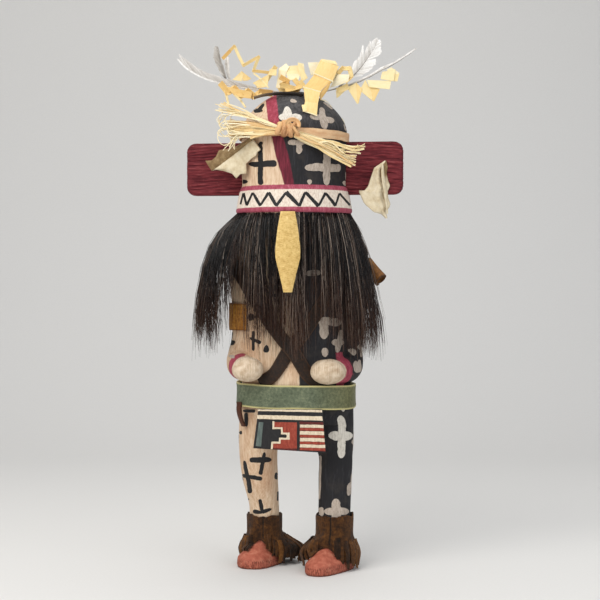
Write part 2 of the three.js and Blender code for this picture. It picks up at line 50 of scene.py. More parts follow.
SHIFT = np.array([(_lo[0] + _hi[0]) * 500 + 0.8, _hi[1] * 1000 - 26.05, 0.0])
rng = np.random.default_rng(11)
sin, cos, pi = np.sin, np.cos, np.pi


# ================================================================ numeric tools
def C(r, g, b):
    """An sRGB colour from 0 to 255 as a linear RGBA tuple."""
    out = []
    for v in (r, g, b):
        v /= 255.0
        out.append(v / 12.92 if v <= 0.04045 else ((v + 0.055) / 1.055) ** 2.4)
    return (*out, 1.0)


def lerp(a, b, t):
    return a + (b - a) * t


def smooth(t):
    t = np.clip(t, 0, 1)
    return t * t * (3 - 2 * t)


def unit(v):
    n = np.linalg.norm(v, axis=-1, keepdims=True)
    return v / np.maximum(n, 1e-9)


def table(rows, key, column):
    rows = np.asarray(rows, float)
    k = np.clip(np.asarray(key, float), rows[0, 0], rows[-1, 0])
    i = np.clip(np.searchsorted(rows[:, 0], k, side="right") - 1, 0, len(rows) - 2)
    t = (k - rows[i, 0]) / (rows[i + 1, 0] - rows[i, 0])
    t = t * t * (3 - 2 * t) * 0.5 + t * 0.5
    return lerp(rows[i, column], rows[i + 1, column], t)


def outline(angle, half, depth, power):
    """Rounded-square section: angle 0 at -y, 90 degrees at +x."""
    s, c = sin(angle), cos(angle)
    r = (np.abs(s / half) ** power + np.abs(c / depth) ** power) ** (-1 / power)
    return r * s, -r * c


def turned(x, y, degrees):
    a = math.radians(degrees)
    return x * math.cos(a) - y * math.sin(a), x * math.sin(a) + y * math.cos(a)


class Spline:
    """A centripetal curve through points, t from 0 to 1."""

    def __init__(self, pts):
        self.p = np.asarray(pts, float)

    def __call__(self, t):
        p = self.p
        n = len(p)
        t = np.atleast_1d(np.asarray(t, float))
        s = np.clip(t, 0, 1) * (n - 1)
        i = np.minimum(s.astype(int), n - 2)
        w = (s - i)[:, None]
        p1, p2 = p[i], p[i + 1]
        p0 = np.where((i > 0)[:, None], p[np.maximum(i - 1, 0)], 2 * p[0] - p[1])
        p3 = np.where((i < n - 2)[:, None], p[np.minimum(i + 2, n - 1)], 2 * p[-1] - p[-2])
        d = lambda a, b: np.maximum(np.sum((a - b) ** 2, axis=1), 1e-8)[:, None] ** 0.25
        a0, a1, a2 = d(p0, p1), d(p1, p2), d(p2, p3)
        m1 = ((p1 - p0) / a0 - (p2 - p0) / (a0 + a1) + (p2 - p1) / a1) * a1
        m2 = ((p2 - p1) / a1 - (p3 - p1) / (a1 + a2) + (p3 - p2) / a2) * a1
        return p1 + m1 * w + (-3 * p1 + 3 * p2 - 2 * m1 - m2) * w**2 + (2 * p1 - 2 * p2 + m1 + m2) * w**3

    def tangent(self, t):
        t = np.atleast_1d(np.asarray(t, float))
        return unit(self(np.minimum(t + 0.004, 1)) - self(np.maximum(t - 0.004, 0)))


def hash3(i, j, k, seed):
    h = (i * 374761393 + j * 668265263 + k * 2147483647 + seed * 1274126177) & 0xFFFFFFFF
    h = ((h ^ (h >> 13)) * 1274126177) & 0xFFFFFFFF
    return ((h ^ (h >> 16)) & 0xFFFFFF) / 0xFFFFFF


def vnoise(p, size=1.0, seed=0):
    """Smooth value noise from -1 to 1; `size` is the size of its lumps, a number or one for each axis."""
    q = np.asarray(p, float) / np.asarray(size, float)
    i = np.floor(q).astype(np.int64)
    f = q - i
    f = f * f * (3 - 2 * f)
    out = 0
    for a in (0, 1):
        for b in (0, 1):
            for c in (0, 1):
                w = (f[..., 0] if a else 1 - f[..., 0]) * (f[..., 1] if b else 1 - f[..., 1]) * (f[..., 2] if c else 1 - f[..., 2])
                out = out + w * hash3(i[..., 0] + a, i[..., 1] + b, i[..., 2] + c, seed)
    return out * 2 - 1


# ================================================================ mesh tools
class Soup:
    """Gathers closed shells (mm) with per-point values, and becomes one object."""

    def __init__(self, *names):
        self.names = names
        self.v, self.q, self.t, self.a, self.n = [], [], [], [], 0
        self.slots = []

    def add(self, v, quads=(), tris=(), slot=0, **values):
        v = np.asarray(v, float).reshape(-1, 3)
        quads = np.asarray(quads, np.int64).reshape(-1, 4)
        tris = np.asarray(tris, np.int64).reshape(-1, 3)
        self.v.append(v)
        self.q.append(quads + self.n)
        self.t.append(tris + self.n)
        self.slots.append((len(quads), len(tris), slot))
        row = np.zeros((len(v), len(self.names)))
        for k, name in enumerate(self.names):
            if name in values:
                row[:, k] = np.broadcast_to(np.asarray(values[name], float).reshape(-1) if np.ndim(values[name]) else values[name], (len(v),))
        self.a.append(row)
        self.n += len(v)
        return self

    def count(self):
        return sum(len(q) for q in self.q) * 2 + sum(len(t) for t in self.t)

    def build(self, name, mats, slot, replaces=(), smooth_=True, angle=40, fix=True):
        mats = mats if isinstance(mats, (list, tuple)) else [mats]
        V = np.concatenate(self.v) + SHIFT
        Q, T = np.concatenate(self.q), np.concatenate(self.t)
        me = bpy.data.meshes.new(name)
        me.vertices.add(len(V))
        me.vertices.foreach_set("co", (V / 1000).astype(np.float32).ravel())
        nq, nt = len(Q), len(T)
        me.loops.add(nq * 4 + nt * 3)
        me.loops.foreach_set("vertex_index", np.concatenate([Q.ravel(), T.ravel()]).astype(np.int32))
        me.polygons.add(nq + nt)
        me.polygons.foreach_set("loop_start", np.concatenate([np.arange(nq) * 4, nq * 4 + np.arange(nt) * 3]).astype(np.int32))
        mq = np.concatenate([np.full(a, s) for a, b, s in self.slots]) if nq else np.zeros(0)
        mt = np.concatenate([np.full(b, s) for a, b, s in self.slots]) if nt else np.zeros(0)
        me.polygons.foreach_set("material_index", np.concatenate([mq, mt]).astype(np.int32))
        me.update(calc_edges=True)
        if fix:
            bm = bmesh.new()
            bm.from_mesh(me)
            bmesh.ops.recalc_face_normals(bm, faces=bm.faces)
            bm.to_mesh(me)
            bm.free()
        A = np.concatenate(self.a)
        for k, label in enumerate(self.names):
            at = me.attributes.new(label, "FLOAT", "POINT")
            at.data.foreach_set("value", A[:, k].astype(np.float32))
        for m in mats:
            me.materials.append(m)
        me.polygons.foreach_set("use_smooth", np.full(len(me.polygons), bool(smooth_)))
        if smooth_ and angle < 180:
            sharp(me, angle)
        ob = bpy.data.objects.new(name, me)
        bpy.context.scene.collection.objects.link(ob)
        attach(ob, "root")
        if replaces:
            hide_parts(*replaces)
        return ob


def sharp(me, degrees):
    """Marks edges sharper than an angle, so that flat faces stay crisp."""
    me.set_sharp_from_angle(angle=math.radians(degrees))


def grid_quads(n, m, wrap_n=False, wrap_m=False, flip=False):
    i = np.arange(n if wrap_n else n - 1)
    j = np.arange(m if wrap_m else m - 1)
    I, J = np.meshgrid(i, j, indexing="ij")
    I2, J2 = (I + 1) % n, (J + 1) % m
    q = np.stack([I * m + J, I * m + J2, I2 * m + J2, I2 * m + J], axis=-1).reshape(-1, 4)
    return q[:, ::-1] if flip else q


def normals_of(P, wrap_n=False, wrap_m=False):
    def d(a, ax, wrap):
        if wrap:
            return np.roll(a, -1, ax) - np.roll(a, 1, ax)
        return np.gradient(a, axis=ax)
    return unit(np.cross(d(P, 0, wrap_n), d(P, 1, wrap_m)))


def slab(soup, P, thick, N=None, wrap_n=False, slot=0, rounded=0.0, lift=0.0, **values):
    """A sheet of some thickness from a grid of points (n, m, 3). It is a closed shell."""
    P = np.asarray(P, float)
    n, m = P.shape[:2]
    N = normals_of(P, wrap_n) if N is None else np.broadcast_to(np.asarray(N, float), P.shape)
    th = np.broadcast_to(np.asarray(thick, float), (n, m))[..., None]
    top, bottom = P + N * (th * 0.5 + lift), P + N * (lift - th * 0.5)
    if rounded:
        c = np.ones((n, m, 1))
        c[:, 0] = c[:, -1] = 1 - rounded
        if not wrap_n:
            c[0] = c[-1] = 1 - rounded
        mid = (top + bottom) / 2
        top, bottom = mid + (top - mid) * c, mid + (bottom - mid) * c
    V = np.concatenate([top.reshape(-1, 3), bottom.reshape(-1, 3)])
    k = n * m
    q = [grid_quads(n, m, wrap_n), grid_quads(n, m, wrap_n, flip=True) + k]
    idx = np.arange(k).reshape(n, m)

    def side(loop, flip):
        a, b = loop[:-1], loop[1:]
        s = np.stack([a, a + k, b + k, b], axis=-1)
        return s[:, ::-1] if flip else s

    rows = np.concatenate([np.arange(n), [0]]) if wrap_n else np.arange(n)
    q.append(side(idx[rows, 0], True))
    q.append(side(idx[rows, -1], False))
    if not wrap_n:
        q.append(side(idx[0, :], False))
        q.append(side(idx[-1, :], True))
    vals = {name: np.tile(np.broadcast_to(np.asarray(v, float), (n, m)).ravel(), 2) if np.ndim(v) else v for name, v in values.items()}
    uu, vv = np.meshgrid(np.linspace(0, 1, n), np.linspace(0, 1, m), indexing="ij")
    vals.setdefault("Along", np.tile(uu.ravel(), 2))
    vals.setdefault("Across", np.tile(vv.ravel(), 2))
    if "Face" in soup.names:
        vals.setdefault("Face", np.concatenate([np.ones(k), np.zeros(k)]))
    soup.add(V, np.concatenate(q), slot=slot, **vals)
    return soup


def strip_grid(points, widths, wdir, across=3, cup=0.0):
    """A grid for a ribbon along points, with its width along wdir."""
    P = np.asarray(points, float)
    n = len(P)
    W = unit(np.broadcast_to(np.asarray(wdir, float), P.shape))
    w = np.broadcast_to(np.asarray(widths, float), (n,))[:, None, None]
    s = np.linspace(-0.5, 0.5, across)[None, :, None]
    T = unit(np.gradient(P, axis=0))
    N = unit(np.cross(T, W))
    return P[:, None] + W[:, None] * s * w + N[:, None] * (cup * (1 - 4 * s * s))


def frames_for(P, hint=(0.13, 0.99, 0.21)):
    T = unit(np.gradient(P, axis=-2))
    S = unit(np.cross(T, np.broadcast_to(np.asarray(hint, float), T.shape)))
    return T, S, np.cross(S, T)


def tubes(soup, P, radii, sides=3, flat=1.0, hint=(0.13, 0.99, 0.21), slot=0, **values):
    """Tubes along P (strands, n, 3), radii (strands, n), all closed at their ends."""
    P = np.asarray(P, float)
    if P.ndim == 2:
        P = P[None]
    S_, n = P.shape[:2]
    R = np.broadcast_to(np.asarray(radii, float), (S_, n))
    T, A, B = frames_for(P, hint)
    ang = np.arange(sides) * 2 * pi / sides
    ring = A[:, :, None] * cos(ang)[None, None, :, None] + B[:, :, None] * sin(ang)[None, None, :, None] * flat
    V = P[:, :, None] + ring * R[:, :, None, None]
    base = (np.arange(S_) * n * sides)[:, None, None]
    q = grid_quads(n, sides, wrap_m=True, flip=True)
    Q = (base + q[None]).reshape(-1, 4)
    caps = []
    for k in range(1, sides - 1):
        caps.append([0, k, k + 1])
        o = (n - 1) * sides
        caps.append([o, o + k + 1, o + k])
    Tt = ((np.arange(S_) * n * sides)[:, None, None] + np.array(caps)[None]).reshape(-1, 3)
    vals = {}
    for name, v in values.items():
        v = np.asarray(v, float)
        if v.ndim == 0:
            vals[name] = v
        elif v.shape == (S_,):
            vals[name] = np.repeat(v, n * sides)
        else:
            vals[name] = np.repeat(np.broadcast_to(v, (S_, n)).ravel(), sides)
    vals.setdefault("Along", np.repeat(np.tile(np.linspace(0, 1, n), S_), sides))
    soup.add(V.reshape(-1, 3), Q, Tt, slot=slot, **vals)
    return soup


def loft(soup, rings, slot=0, **values):
    """A closed solid through rings (n, m, 3), capped at both ends with fans."""
    R = np.asarray(rings, float)
    n, m = R.shape[:2]
    V = np.concatenate([R.reshape(-1, 3), [R[0].mean(0)], [R[-1].mean(0)]])
    q = grid_quads(n, m, wrap_m=True)
    j = np.arange(m)
    c0, c1 = n * m, n * m + 1
    t0 = np.stack([np.full(m, c0), (j + 1) % m, j], axis=-1)
    t1 = np.stack([np.full(m, c1), (n - 1) * m + j, (n - 1) * m + (j + 1) % m], axis=-1)
    vals = {}
    for name, v in values.items():
        v = np.asarray(v, float)
        if v.ndim:
            v = np.broadcast_to(v, (n, m))
            v = np.concatenate([v.ravel(), [v[0].mean()], [v[-1].mean()]])
        vals[name] = v
    soup.add(V, q, np.concatenate([t0, t1]), slot=slot, **vals)
    return soup


# ================================================================ material tools
class Mat:
    def __init__(self, name, rough=0.6, spec=0.4):
        self.m = bpy.data.materials.new(name)
        self.m.use_nodes = True
        self.t = self.m.node_tree
        self.t.nodes.clear()
        self.out = self.node("ShaderNodeOutputMaterial")
        self.b = self.node("ShaderNodeBsdfPrincipled")
        self.t.links.new(self.b.outputs[0], self.out.inputs[0])
        self.b.inputs["Roughness"].default_value = rough
        self.b.inputs["Specular IOR Level"].default_value = spec
        co = self.node("ShaderNodeTexCoord")
        mm = self.node("ShaderNodeVectorMath", operation="SCALE")
        self.t.links.new(co.outputs["Object"], mm.inputs[0])
        mm.inputs["Scale"].default_value = 1000
        sub = self.node("ShaderNodeVectorMath", operation="SUBTRACT")
        self.t.links.new(mm.outputs[0], sub.inputs[0])
        sub.inputs[1].default_value = tuple(SHIFT)
        self.pos = sub.outputs[0]

    def node(self, kind, **props):
        n = self.t.nodes.new(kind)
        for k, v in props.items():
            setattr(n, k, v)
        return n

    def put(self, sock, v):
        if isinstance(v, bpy.types.NodeSocket):
            self.t.links.new(v, sock)
        else:
            sock.default_value = v

    def math(self, op, a, b=0.0, c=0.0, clamp=False):
        n = self.node("ShaderNodeMath", operation=op, use_clamp=clamp)
        for s, v in zip(n.inputs, (a, b, c)):
            self.put(s, v)
        return n.outputs[0]

    def noise(self, scale=1.0, detail=3.0, rough=0.5, stretch=(1, 1, 1), dist=0.0, vec=None):
        """Noise of `scale` lumps a millimetre."""
        n = self.node("ShaderNodeVectorMath", operation="MULTIPLY")
        self.put(n.inputs[0], self.pos if vec is None else vec)
        n.inputs[1].default_value = tuple(scale * s for s in stretch)
        t = self.node("ShaderNodeTexNoise")
        self.t.links.new(n.outputs[0], t.inputs["Vector"])
        t.inputs["Scale"].default_value = 1.0
        t.inputs["Detail"].default_value = detail
        t.inputs["Roughness"].default_value = rough
        t.inputs["Distortion"].default_value = dist
        return t.outputs["Fac"]

    def attr(self, name):
        n = self.node("ShaderNodeAttribute", attribute_name=name)
        return n.outputs["Fac"]

    def xyz(self):
        n = self.node("ShaderNodeSeparateXYZ")
        self.t.links.new(self.pos, n.inputs[0])
        return n.outputs

    def vec(self, x, y, z):
        n = self.node("ShaderNodeCombineXYZ")
        for s, v in zip(n.inputs, (x, y, z)):
            self.put(s, v)
        return n.outputs[0]

    def span(self, v, a, b, c=0.0, d=1.0, soft=False):
        n = self.node("ShaderNodeMapRange", interpolation_type="SMOOTHSTEP" if soft else "LINEAR")
        for s, x in zip(n.inputs[:5], (v, a, b, c, d)):
            self.put(s, x)
        return n.outputs[0]

    def ramp(self, fac, stops):
        n = self.node("ShaderNodeValToRGB")
        while len(n.color_ramp.elements) < len(stops):
            n.color_ramp.elements.new(0.5)
        for e, (p, c) in zip(n.color_ramp.elements, stops):
            e.position, e.color = p, c
        self.put(n.inputs[0], fac)
        return n.outputs[0]

    def mix(self, fac, a, b, kind="MIX"):
        n = self.node("ShaderNodeMix", data_type="RGBA", blend_type=kind)
        ins = [s for s in n.inputs if s.type == "RGBA"]
        self.put(n.inputs[0], fac)
        self.put(ins[0], a)
        self.put(ins[1], b)
        return [s for s in n.outputs if s.type == "RGBA"][0]

    def colour(self, v):
        self.put(self.b.inputs["Base Color"], v)
        return self

    def rough(self, v):
        self.put(self.b.inputs["Roughness"], v)
        return self

    def bump(self, height, strength=0.3, mm=0.1):
        n = self.node("ShaderNodeBump")
        self.put(n.inputs["Height"], height)
        n.inputs["Strength"].default_value = strength
        n.inputs["Distance"].default_value = mm / 1000
        self.t.links.new(n.outputs[0], self.b.inputs["Normal"])
        return self


CREAM, CREAM_DARK = C(214, 190, 160), C(182, 150, 118)
BLACK, BLACK_WORN = C(24, 23, 24), C(58, 55, 53)
CRIMSON, WHITE, PALE = C(132, 30, 46), C(226, 214, 196), C(178, 166, 152)


# ================================================================ the carving
MASK = dict(x=-0.8, radius=24.9, wall=205.7, dome=19.4, base=152.0)
COLLAR = dict(bottom=167.6, top=179.0, rb=27.5, rt=25.4)
TRUNK = [[69, 24.4, 14.0], [77, 26.2, 17.4], [88, 25.7, 18.2], [100, 24.8, 18.5], [116, 24.2, 17.8], [136, 25.0, 17.2], [152, 26.0, 17.6], [162, 25.4, 19.0], [169, 23.0, 20.5]]
ARMS = {
    "left": [(-25.0, 0.5, 155), (-25.2, 1.0, 143), (-24.1, 1.0, 125), (-24.2, 0.8, 108), (-25.8, -2.0, 98.5), (-25.4, -10.0, 96.2), (-22.6, -18.5, 95.6)],
    "right": [(25.0, 0.5, 155), (25.4, 1.0, 143), (25.2, 1.0, 125), (25.2, 0.8, 106), (24.6, -2.5, 96.0), (21.6, -10.5, 94.4), (15.4, -18.5, 94.3)],
}
HANDS = {"left": ((-22.1, -20.8, 95.5), (7.3, 6.2, 5.8), 0), "right": ((14.6, -20.8, 94.3), (8.2, 6.0, 5.8), 12)}
LEGS = {
    "left": ([(-15.4, 1.0, 78), (-17.9, 3.0, 56), (-17.1, 5.6, 43), (-15.4, 9.0, 29), (-15.2, 11.8, 10)], [11.2, 9.2, 8.6, 7.2, 7.3]),
    "right": ([(15.8, 0.5, 78), (18.8, 0.0, 53), (18.5, -0.2, 42), (18.25, -0.5, 29), (18.1, -1.0, 10)], [11.6, 8.0, 7.8, 7.7, 7.6]),
}
FEET = {"left": ((-15.6, 12.0), 18.2, 9.2, 9.5, 15), "right": ((18.6, -1.0), 22.3, 9.2, 8.9, 26)}
FOOT_RISE = np.array([[0, 0.97, 0.96], [1.0, 1.0, 1.0], [4.7, 0.99, 0.98], [5.6, 0.92, 0.9], [8.8, 0.66, 0.8], [11.6, 0.42, 0.76], [15, 0.36, 0.74]])


def limb_rings(path, halves, n=40, m=32):
    curve = Spline(path)
    t = np.linspace(0, 1, n)
    c, T = curve(t), curve.tangent(t)
    S = unit(np.array([1.0, 0, 0]) - T * T[:, :1])
    F = np.cross(S, T)
    r = np.interp(t, np.linspace(0, 1, len(halves)), halves)
    a = np.arange(m) * 2 * pi / m
    return c[:, None] + r[:, None, None] * (S[:, None] * sin(a)[None, :, None] + F[:, None] * cos(a)[None, :, None])


def figure_parts():
    s = Soup()
    a = np.arange(96) * 2 * pi / 96
    # mask, collar and dome
    prof = [(0.2, 152), (21, 152), (22.5, 164), (26.9, 167.5), (27.5, 168.0), (26.6, 173.6), (25.6, 178.5), (25.1, 179.4), (24.6, 180.4), (24.7, 184), (24.9, 192), (24.9, 205.7)]
    for d in np.linspace(6, 88, 18):
        r = 24.9 * math.cos(math.radians(d))
        prof.append((r, 205.7 + 19.4 * (1 - (r / 24.9) ** 1.8) ** (1 / 1.6)))
    prof = np.array(prof)
    rings = np.stack([np.stack([-0.8 + r * sin(a), -r * cos(a), np.full_like(a, z)], -1) for r, z in prof])
    loft(s, rings)
    z = np.linspace(69, 169, 60)
    rings = []
    for h in z:
        x, y = outline(a, table(TRUNK, h, 1), table(TRUNK, h, 2), 2.3)
        u, v = turned(x, y, -7)
        rings.append(np.stack([u, v, np.full_like(u, h)], -1))
    loft(s, rings)
    for side in ("left", "right"):
        loft(s, limb_rings(ARMS[side], [6.9, 6.9, 6.3, 6.3, 6.9, 6.2, 5.9]))
        loft(s, limb_rings(*LEGS[side]))
        at, half, turn = HANDS[side]
        lat = np.linspace(-pi / 2 + 0.05, pi / 2 - 0.05, 24)
        b = np.arange(36) * 2 * pi / 36
        x = half[0] * cos(lat)[:, None] * sin(b)
        y = -half[1] * cos(lat)[:, None] * cos(b)
        # a seam-like dent between thumb and palm keeps the carved mitten shape
        dent = 1 - 0.05 * np.exp(-(((x / half[0]) - 0.15) ** 2) / 0.02) * (y < 0)
        u, v = turned(x * dent, y * dent, turn)
        zz = np.broadcast_to(half[2] * sin(lat)[:, None], u.shape)
        loft(s, np.stack([u + at[0], v + at[1], zz + at[2]], -1))
        (fx, fy), toe, heel, half_, fturn = FEET[side]
        rings = []
        b = np.arange(72) * 2 * pi / 72
        for h in np.concatenate([[0, 0.5], np.linspace(1, 15, 26)]):
            ts, hs = np.interp(h, FOOT_RISE[:, 0], FOOT_RISE[:, 1]), np.interp(h, FOOT_RISE[:, 0], FOOT_RISE[:, 2])
            xf, yf = outline(b, half_ * hs, toe * ts, 2.5)
            xb, yb = outline(b, half_ * hs, heel * lerp(1, 0.9, h / 15), 2.1)
            front = cos(b) > 0
            x, y = np.where(front, xf, xb), np.where(front, yf, yb)
            # the toe is carved like a low gable and swings a little outwards
            gable = np.interp(h, [0, 4.7, 5.6, 8.8, 11.6, 15], [1, 0.98, 0.95, 0.72, 0.48, 0.4])
            x = x * lerp(1, gable, smooth(np.clip(cos(b) * 1.5, 0, 1)))
            x = x - (1.9 if side == "left" else 1.2) * np.clip(-y / 12, 0, 1)
            u, v = turned(x, y, -fturn)
            rings.append(np.stack([fx + u, fy + v, np.full_like(u, h)], -1))
        loft(s, rings)
    return s


def seg_distance(P, a, b):
    a, b = np.asarray(a, float), np.asarray(b, float)
    h = np.clip(((P - a) @ (b - a)) / np.dot(b - a, b - a), 0, 1)
    return np.linalg.norm(P - a - h[:, None] * (b - a), axis=1), h


def remeshed_figure():
    me = bpy.data.meshes.new("figure_raw")
    s = figure_parts()
    V, Q, T = np.concatenate(s.v), np.concatenate(s.q), np.concatenate(s.t)
    me.from_pydata(V.tolist(), [], Q.tolist() + T.tolist())
    ob = bpy.data.objects.new("figure_raw", me)
    bpy.context.scene.collection.objects.link(ob)
    mod = ob.modifiers.new("voxels", "REMESH")
    mod.mode = "VOXEL"
    mod.voxel_size = 0.72
    mod.adaptivity = 0
    bpy.context.view_layer.update()
    ev = ob.evaluated_get(bpy.context.evaluated_depsgraph_get())
    out = ev.to_mesh()
    n = len(out.vertices)
    P = np.empty(n * 3, np.float32)
    out.vertices.foreach_get("co", P)
    P = P.reshape(-1, 3).astype(float)
    F = np.empty(len(out.loops), np.int32)
    out.loops.foreach_get("vertex_index", F)
    tot = np.empty(len(out.polygons), np.int32)
    out.polygons.foreach_get("loop_total", tot)
    E = np.empty(len(out.edges) * 2, np.int32)
    out.edges.foreach_get("vertices", E)
    E = E.reshape(-1, 2)
    ev.to_mesh_clear()
    assert (tot == 4).all()
    F = F.reshape(-1, 4)
    bpy.data.objects.remove(ob)
    deg = np.bincount(E.ravel(), minlength=n)[:, None]

    def relax(P, k):
        S = np.zeros_like(P)
        for c in range(3):
            S[:, c] = np.bincount(E[:, 0], P[E[:, 1], c], n) + np.bincount(E[:, 1], P[E[:, 0], c], n)
        return P + k * (S / deg - P)

    soles = P[:, 2] < 0.5
    for _ in range(5):
        P = relax(relax(P, 0.5), -0.52)
    P[:, 2] = np.maximum(P[:, 2], 0)
    P[soles, 2] = np.clip(P[soles, 2] - 0.15, 0, None)
    # knife facets and a fine unevenness of the carving
    N = vertex_normals(P, F)
    wave = 0.10 * vnoise(P, (6, 6, 14), 3) + 0.05 * vnoise(P, (2.6, 2.6, 7), 4) + 0.02 * vnoise(P, (0.9, 0.9, 3), 5)
    wave *= np.where(P[:, 2] < 1.5, 0.2, 1.0)
    P = P + N * (wave - 0.05)[:, None]
    return P, F


def vertex_normals(P, F):
    a, b, c, d = (P[F[:, k]] for k in range(4))
    fn = np.cross(c - a, d - b)
    N = np.zeros_like(P)
    for k in range(4):
        for ax in range(3):
            N[:, ax] += np.bincount(F[:, k], fn[:, ax], len(P))
    return unit(N)


def figure_fields(P):
    """Signed distances in mm (positive inside) that the paint follows."""
    x, y, z = P.T
    zs = [0, 92, 120, 150, 168, 179.9, 192.3, 202.8, 209.8, 219.6, 226]
    left = [1.6, 1.6, 0.6, -1.6, -3.2, -5.2, -9.0, -11.3, -12.8, -14.0, -14.4]
    right = [1.6, 1.6, 0.6, -1.6, -3.2, -0.8, -3.1, -6.3, -7.7, -8.9, -9.3]
    L, R = np.interp(z, zs, left), np.interp(z, zs, right)
    on_mask = z > 173
    split = np.where(on_mask, x - (L + R) / 2, x - R)
    stripe = np.where(on_mask, np.minimum(x - L, R - x), -3.0)
    hand, wrist = np.full(len(P), -9.0), np.full(len(P), -9.0)
    for side in ("left", "right"):
        at, half, turn = HANDS[side]
        u, v = turned(x - at[0], y - at[1], -turn)
        d = np.sqrt((u / half[0]) ** 2 + (v / half[1]) ** 2 + ((z - at[2]) / half[2]) ** 2)
        hand = np.maximum(hand, (1.10 - d) * 6)
        path = ARMS[side]
        near, h = seg_distance(P, path[4], path[5])
        near2, h2 = seg_distance(P, path[5], path[6])
        inside = np.minimum(8.6 - near2, (h2 - 0.04) * 9)
        wrist = np.maximum(wrist, np.minimum(inside, 3.0))
    wrist = np.minimum(wrist, (-y - 9.5))
    wrist = np.minimum(wrist, np.where(x > 0, x - 18.6, -23.4 - x))
    foot = 13.2 - z
    collar = np.minimum(z - 167.2, 179.75 - z)
    return dict(Split=split, Stripe=stripe, Hand=hand, Wrist=wrist, Foot=foot, Collar=collar)


